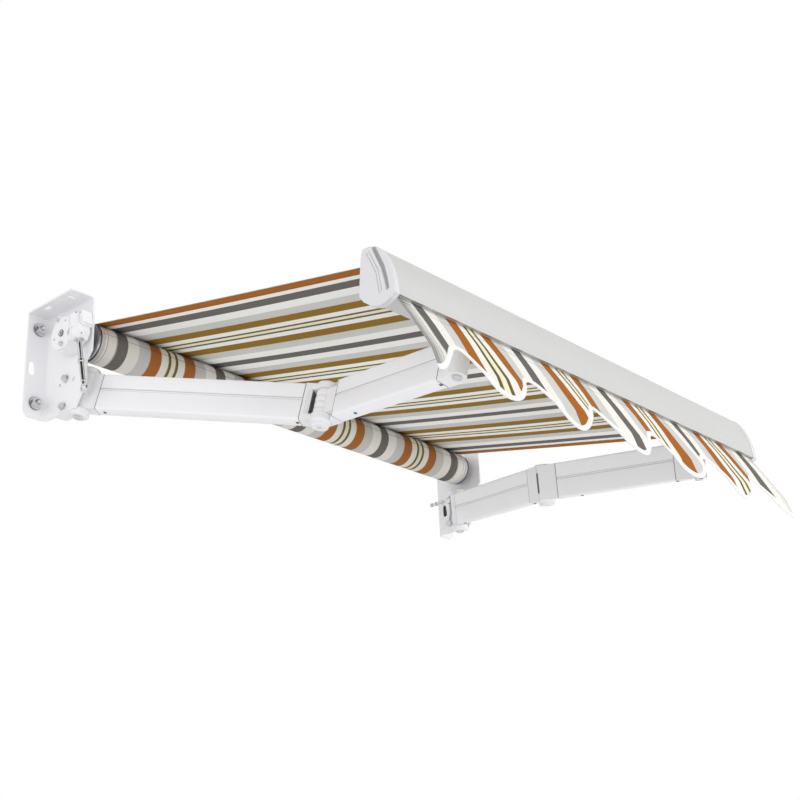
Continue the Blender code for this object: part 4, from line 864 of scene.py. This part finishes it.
class AWNING_OT_fasteners(bpy.types.Operator):
    """Small screws under the arms and on the gearbox"""
    bl_idname = "awning.fasteners"
    bl_label = "Small screws"

    def execute(self, context):
        metal = context.scene.awning_metal
        steel = plated("screw_steel", tuple(c * 0.30 for c in metal.zinc), 0.35)
        pan = [(0, 0.0006), (0.0012, 0.0006), (0.0014, 0.0017), (0.0026, 0.0014), (0.0034, 0.0006),
               (0.0035, -0.0002), (0, -0.0002)]
        arms = (("upper_arm_profile", SHOULDER, ELBOW, (0.0503, 0.4398)),
                ("forearm_profile", ELBOW, WRIST, (0.0902, 0.3080)))
        for part, start, end, reaches in arms:
            way = (end - start).normalized()
            middle = LEAN.cross(way) * ARM_MIDDLE - LEAN * ARM_HALF_HEIGHT
            for index, reach in enumerate(reaches):
                point = start + way * reach + middle
                for label, side in SIDES.items():
                    work = spun(pan, metal.screws, facing(point * side, -LEAN * side))
                    body = BODY_OF[f"{label}_{part}"]
                    piece(f"{label}_{part}_screw_{index + 1}", work, steel, body, 35)
        for index, (point, way) in enumerate(SET_SCREWS):
            seat = facing(Vector(point), Vector(way)) @ Matrix.Scale(SET_SCREW_SIZE, 4)
            work = spun(pan, metal.screws, seat)
            piece(f"gearbox_set_screw_{index + 1}", work, steel, BODY_OF["gearbox_housing"], 35)
        for label, offset, radius, depth in COVER_RECESSES:
            rim = radius - RECESS_GAP
            disc = [(0, 0.0009), (radius * 0.45, 0.0009), (radius * 0.55, 0.0012), (rim, 0.0008), (rim, 0),
                    (0, 0)]
            centre = ROLL_AXIS + Vector(offset)
            point = Vector((GEARBOX_OUTER + depth, centre.y, centre.z))
            work = spun(disc, metal.screws, facing(point, Vector((-1, 0, 0))))
            piece(f"cover_{label}_plug", work, steel, BODY_OF["gearbox_cover"], 35)
        return {"FINISHED"}


def camera_matrix():
    """Place and turn of the camera, fitted to the photograph."""
    across = Vector((0.6713, -0.7400, -0.0412)).normalized()
    up = Vector((-0.2573, -0.2849, 0.9235))
    back = across.cross(up).normalized()
    up = back.cross(across)
    turn = Matrix((across, up, back)).transposed().to_4x4()
    stand = Vector((-1.9806, -2.1369, -1.1110))
    return Matrix.Translation(stand) @ turn


class AWNING_OT_stage(bpy.types.Operator):
    """Camera, soft lamps, even surround and pale floor"""
    bl_idname = "awning.stage"
    bl_label = "Stage"

    def execute(self, context):
        stage = context.scene.awning_stage
        scene = context.scene
        data = bpy.data.cameras.new("camera")
        data.sensor_width = 36
        data.lens = stage.lens
        data.clip_end = 100
        camera = bpy.data.objects.new("camera", data)
        scene.collection.objects.link(camera)
        camera.matrix_world = camera_matrix()
        scene.camera = camera

        world = bpy.data.worlds.new("surround")
        scene.world = world
        world.use_nodes = True
        tree = world.node_tree
        tree.nodes.clear()
        even = tree.nodes.new("ShaderNodeBackground")
        even.inputs["Color"].default_value = (1, 1, 1, 1)
        white = add(tree, "ShaderNodeBackground", Strength=1.0)
        white.inputs["Color"].default_value = (1, 1, 1, 1)
        path = tree.nodes.new("ShaderNodeLightPath")
        way = tree.nodes.new("ShaderNodeTexCoord")
        share = vectors(tree, "DOT_PRODUCT", way.outputs["Generated"], (-0.60, -0.78, 0.15))
        flag = ramp(tree, [(0.0, (0, 0, 0)), (1.0, (0.95, 0.95, 0.95))])
        tree.links.new(maths(tree, "MULTIPLY", maths(tree, "SUBTRACT", share.outputs["Value"], 0.50), 10.0),
                       flag.inputs[0])
        dark = maths(tree, "MULTIPLY", flag.outputs[0], path.outputs["Is Glossy Ray"])
        light = maths(tree, "MULTIPLY", maths(tree, "SUBTRACT", 1.0, dark), stage.sky)
        tree.links.new(light, even.inputs["Strength"])
        seen = maths(tree, "MAXIMUM", path.outputs["Is Camera Ray"], path.outputs["Is Transmission Ray"])
        choose = tree.nodes.new("ShaderNodeMixShader")
        out = tree.nodes.new("ShaderNodeOutputWorld")
        tree.links.new(seen, choose.inputs[0])
        tree.links.new(even.outputs[0], choose.inputs[1])
        tree.links.new(white.outputs[0], choose.inputs[2])
        tree.links.new(choose.outputs[0], out.inputs[0])

        for label, energy, size, where, aim in (
                ("key_lamp", stage.key, 2.6, (1.3, -3.2, 1.5), (0, -0.45, -0.05)),
                ("side_lamp", stage.side, 1.8, (-2.7, -1.2, -0.3), (-0.4, -0.25, 0.0)),
                ("fill_lamp", stage.fill, 3.0, (0.9, -2.4, -1.5), (0, -0.45, -0.1))):
            lamp = bpy.data.lights.new(label, "AREA")
            lamp.energy = energy
            lamp.size = size
            holder = bpy.data.objects.new(label, lamp)
            scene.collection.objects.link(holder)
            holder.matrix_world = facing(Vector(where), Vector(where) - Vector(aim))

        work = bmesh.new()
        bmesh.ops.create_grid(work, x_segments=1, y_segments=1, size=30)
        bmesh.ops.translate(work, vec=(0, -2, stage.floor), verts=work.verts)
        mesh = bpy.data.meshes.new("floor")
        work.to_mesh(mesh)
        work.free()
        floor = bpy.data.objects.new("floor", mesh)
        scene.collection.objects.link(floor)
        material = bpy.data.materials.new("floor_paper")
        shader = tree_of(material)[2]
        shader.inputs["Base Color"].default_value = (0.86, 0.86, 0.86, 1)
        shader.inputs["Roughness"].default_value = 0.9
        mesh.materials.append(material)
        scene.view_settings.view_transform = "Standard"
        return {"FINISHED"}


class AWNING_PT_sidebar(bpy.types.Panel):
    """Lists the steps that dress the awning"""
    bl_idname = "AWNING_PT_sidebar"
    bl_label = "Folding-Arm Awning"
    bl_space_type = "VIEW_3D"
    bl_region_type = "UI"
    bl_category = "Awning"

    def draw(self, context):
        for step in STEPS:
            self.layout.operator(step)
        for name in GROUPS:
            settings = getattr(context.scene, name)
            box = self.layout.box()
            for key in settings.__annotations__:
                box.prop(settings, key)


STEPS = ("awning.stage", "awning.canopy", "awning.roll", "awning.valance", "awning.metal",
         "awning.fasteners")
GROUPS = {"awning_cloth": AwningCloth, "awning_metal": AwningMetal, "awning_stage": AwningStage}
CLASSES = (AwningCloth, AwningMetal, AwningStage, AWNING_OT_stage, AWNING_OT_canopy, AWNING_OT_roll,
           AWNING_OT_valance, AWNING_OT_metal, AWNING_OT_fasteners, AWNING_PT_sidebar)


def register():
    for item in CLASSES:
        bpy.utils.register_class(item)
    for name, kind in GROUPS.items():
        setattr(bpy.types.Scene, name, PointerProperty(type=kind))


def unregister():
    for name in GROUPS:
        delattr(bpy.types.Scene, name)
    for item in reversed(CLASSES):
        bpy.utils.unregister_class(item)


def main():
    """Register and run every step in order."""
    register()
    for step in STEPS:
        area, verb = step.split(".")
        getattr(getattr(bpy.ops, area), verb)()


if __name__ == "__main__":
    main()
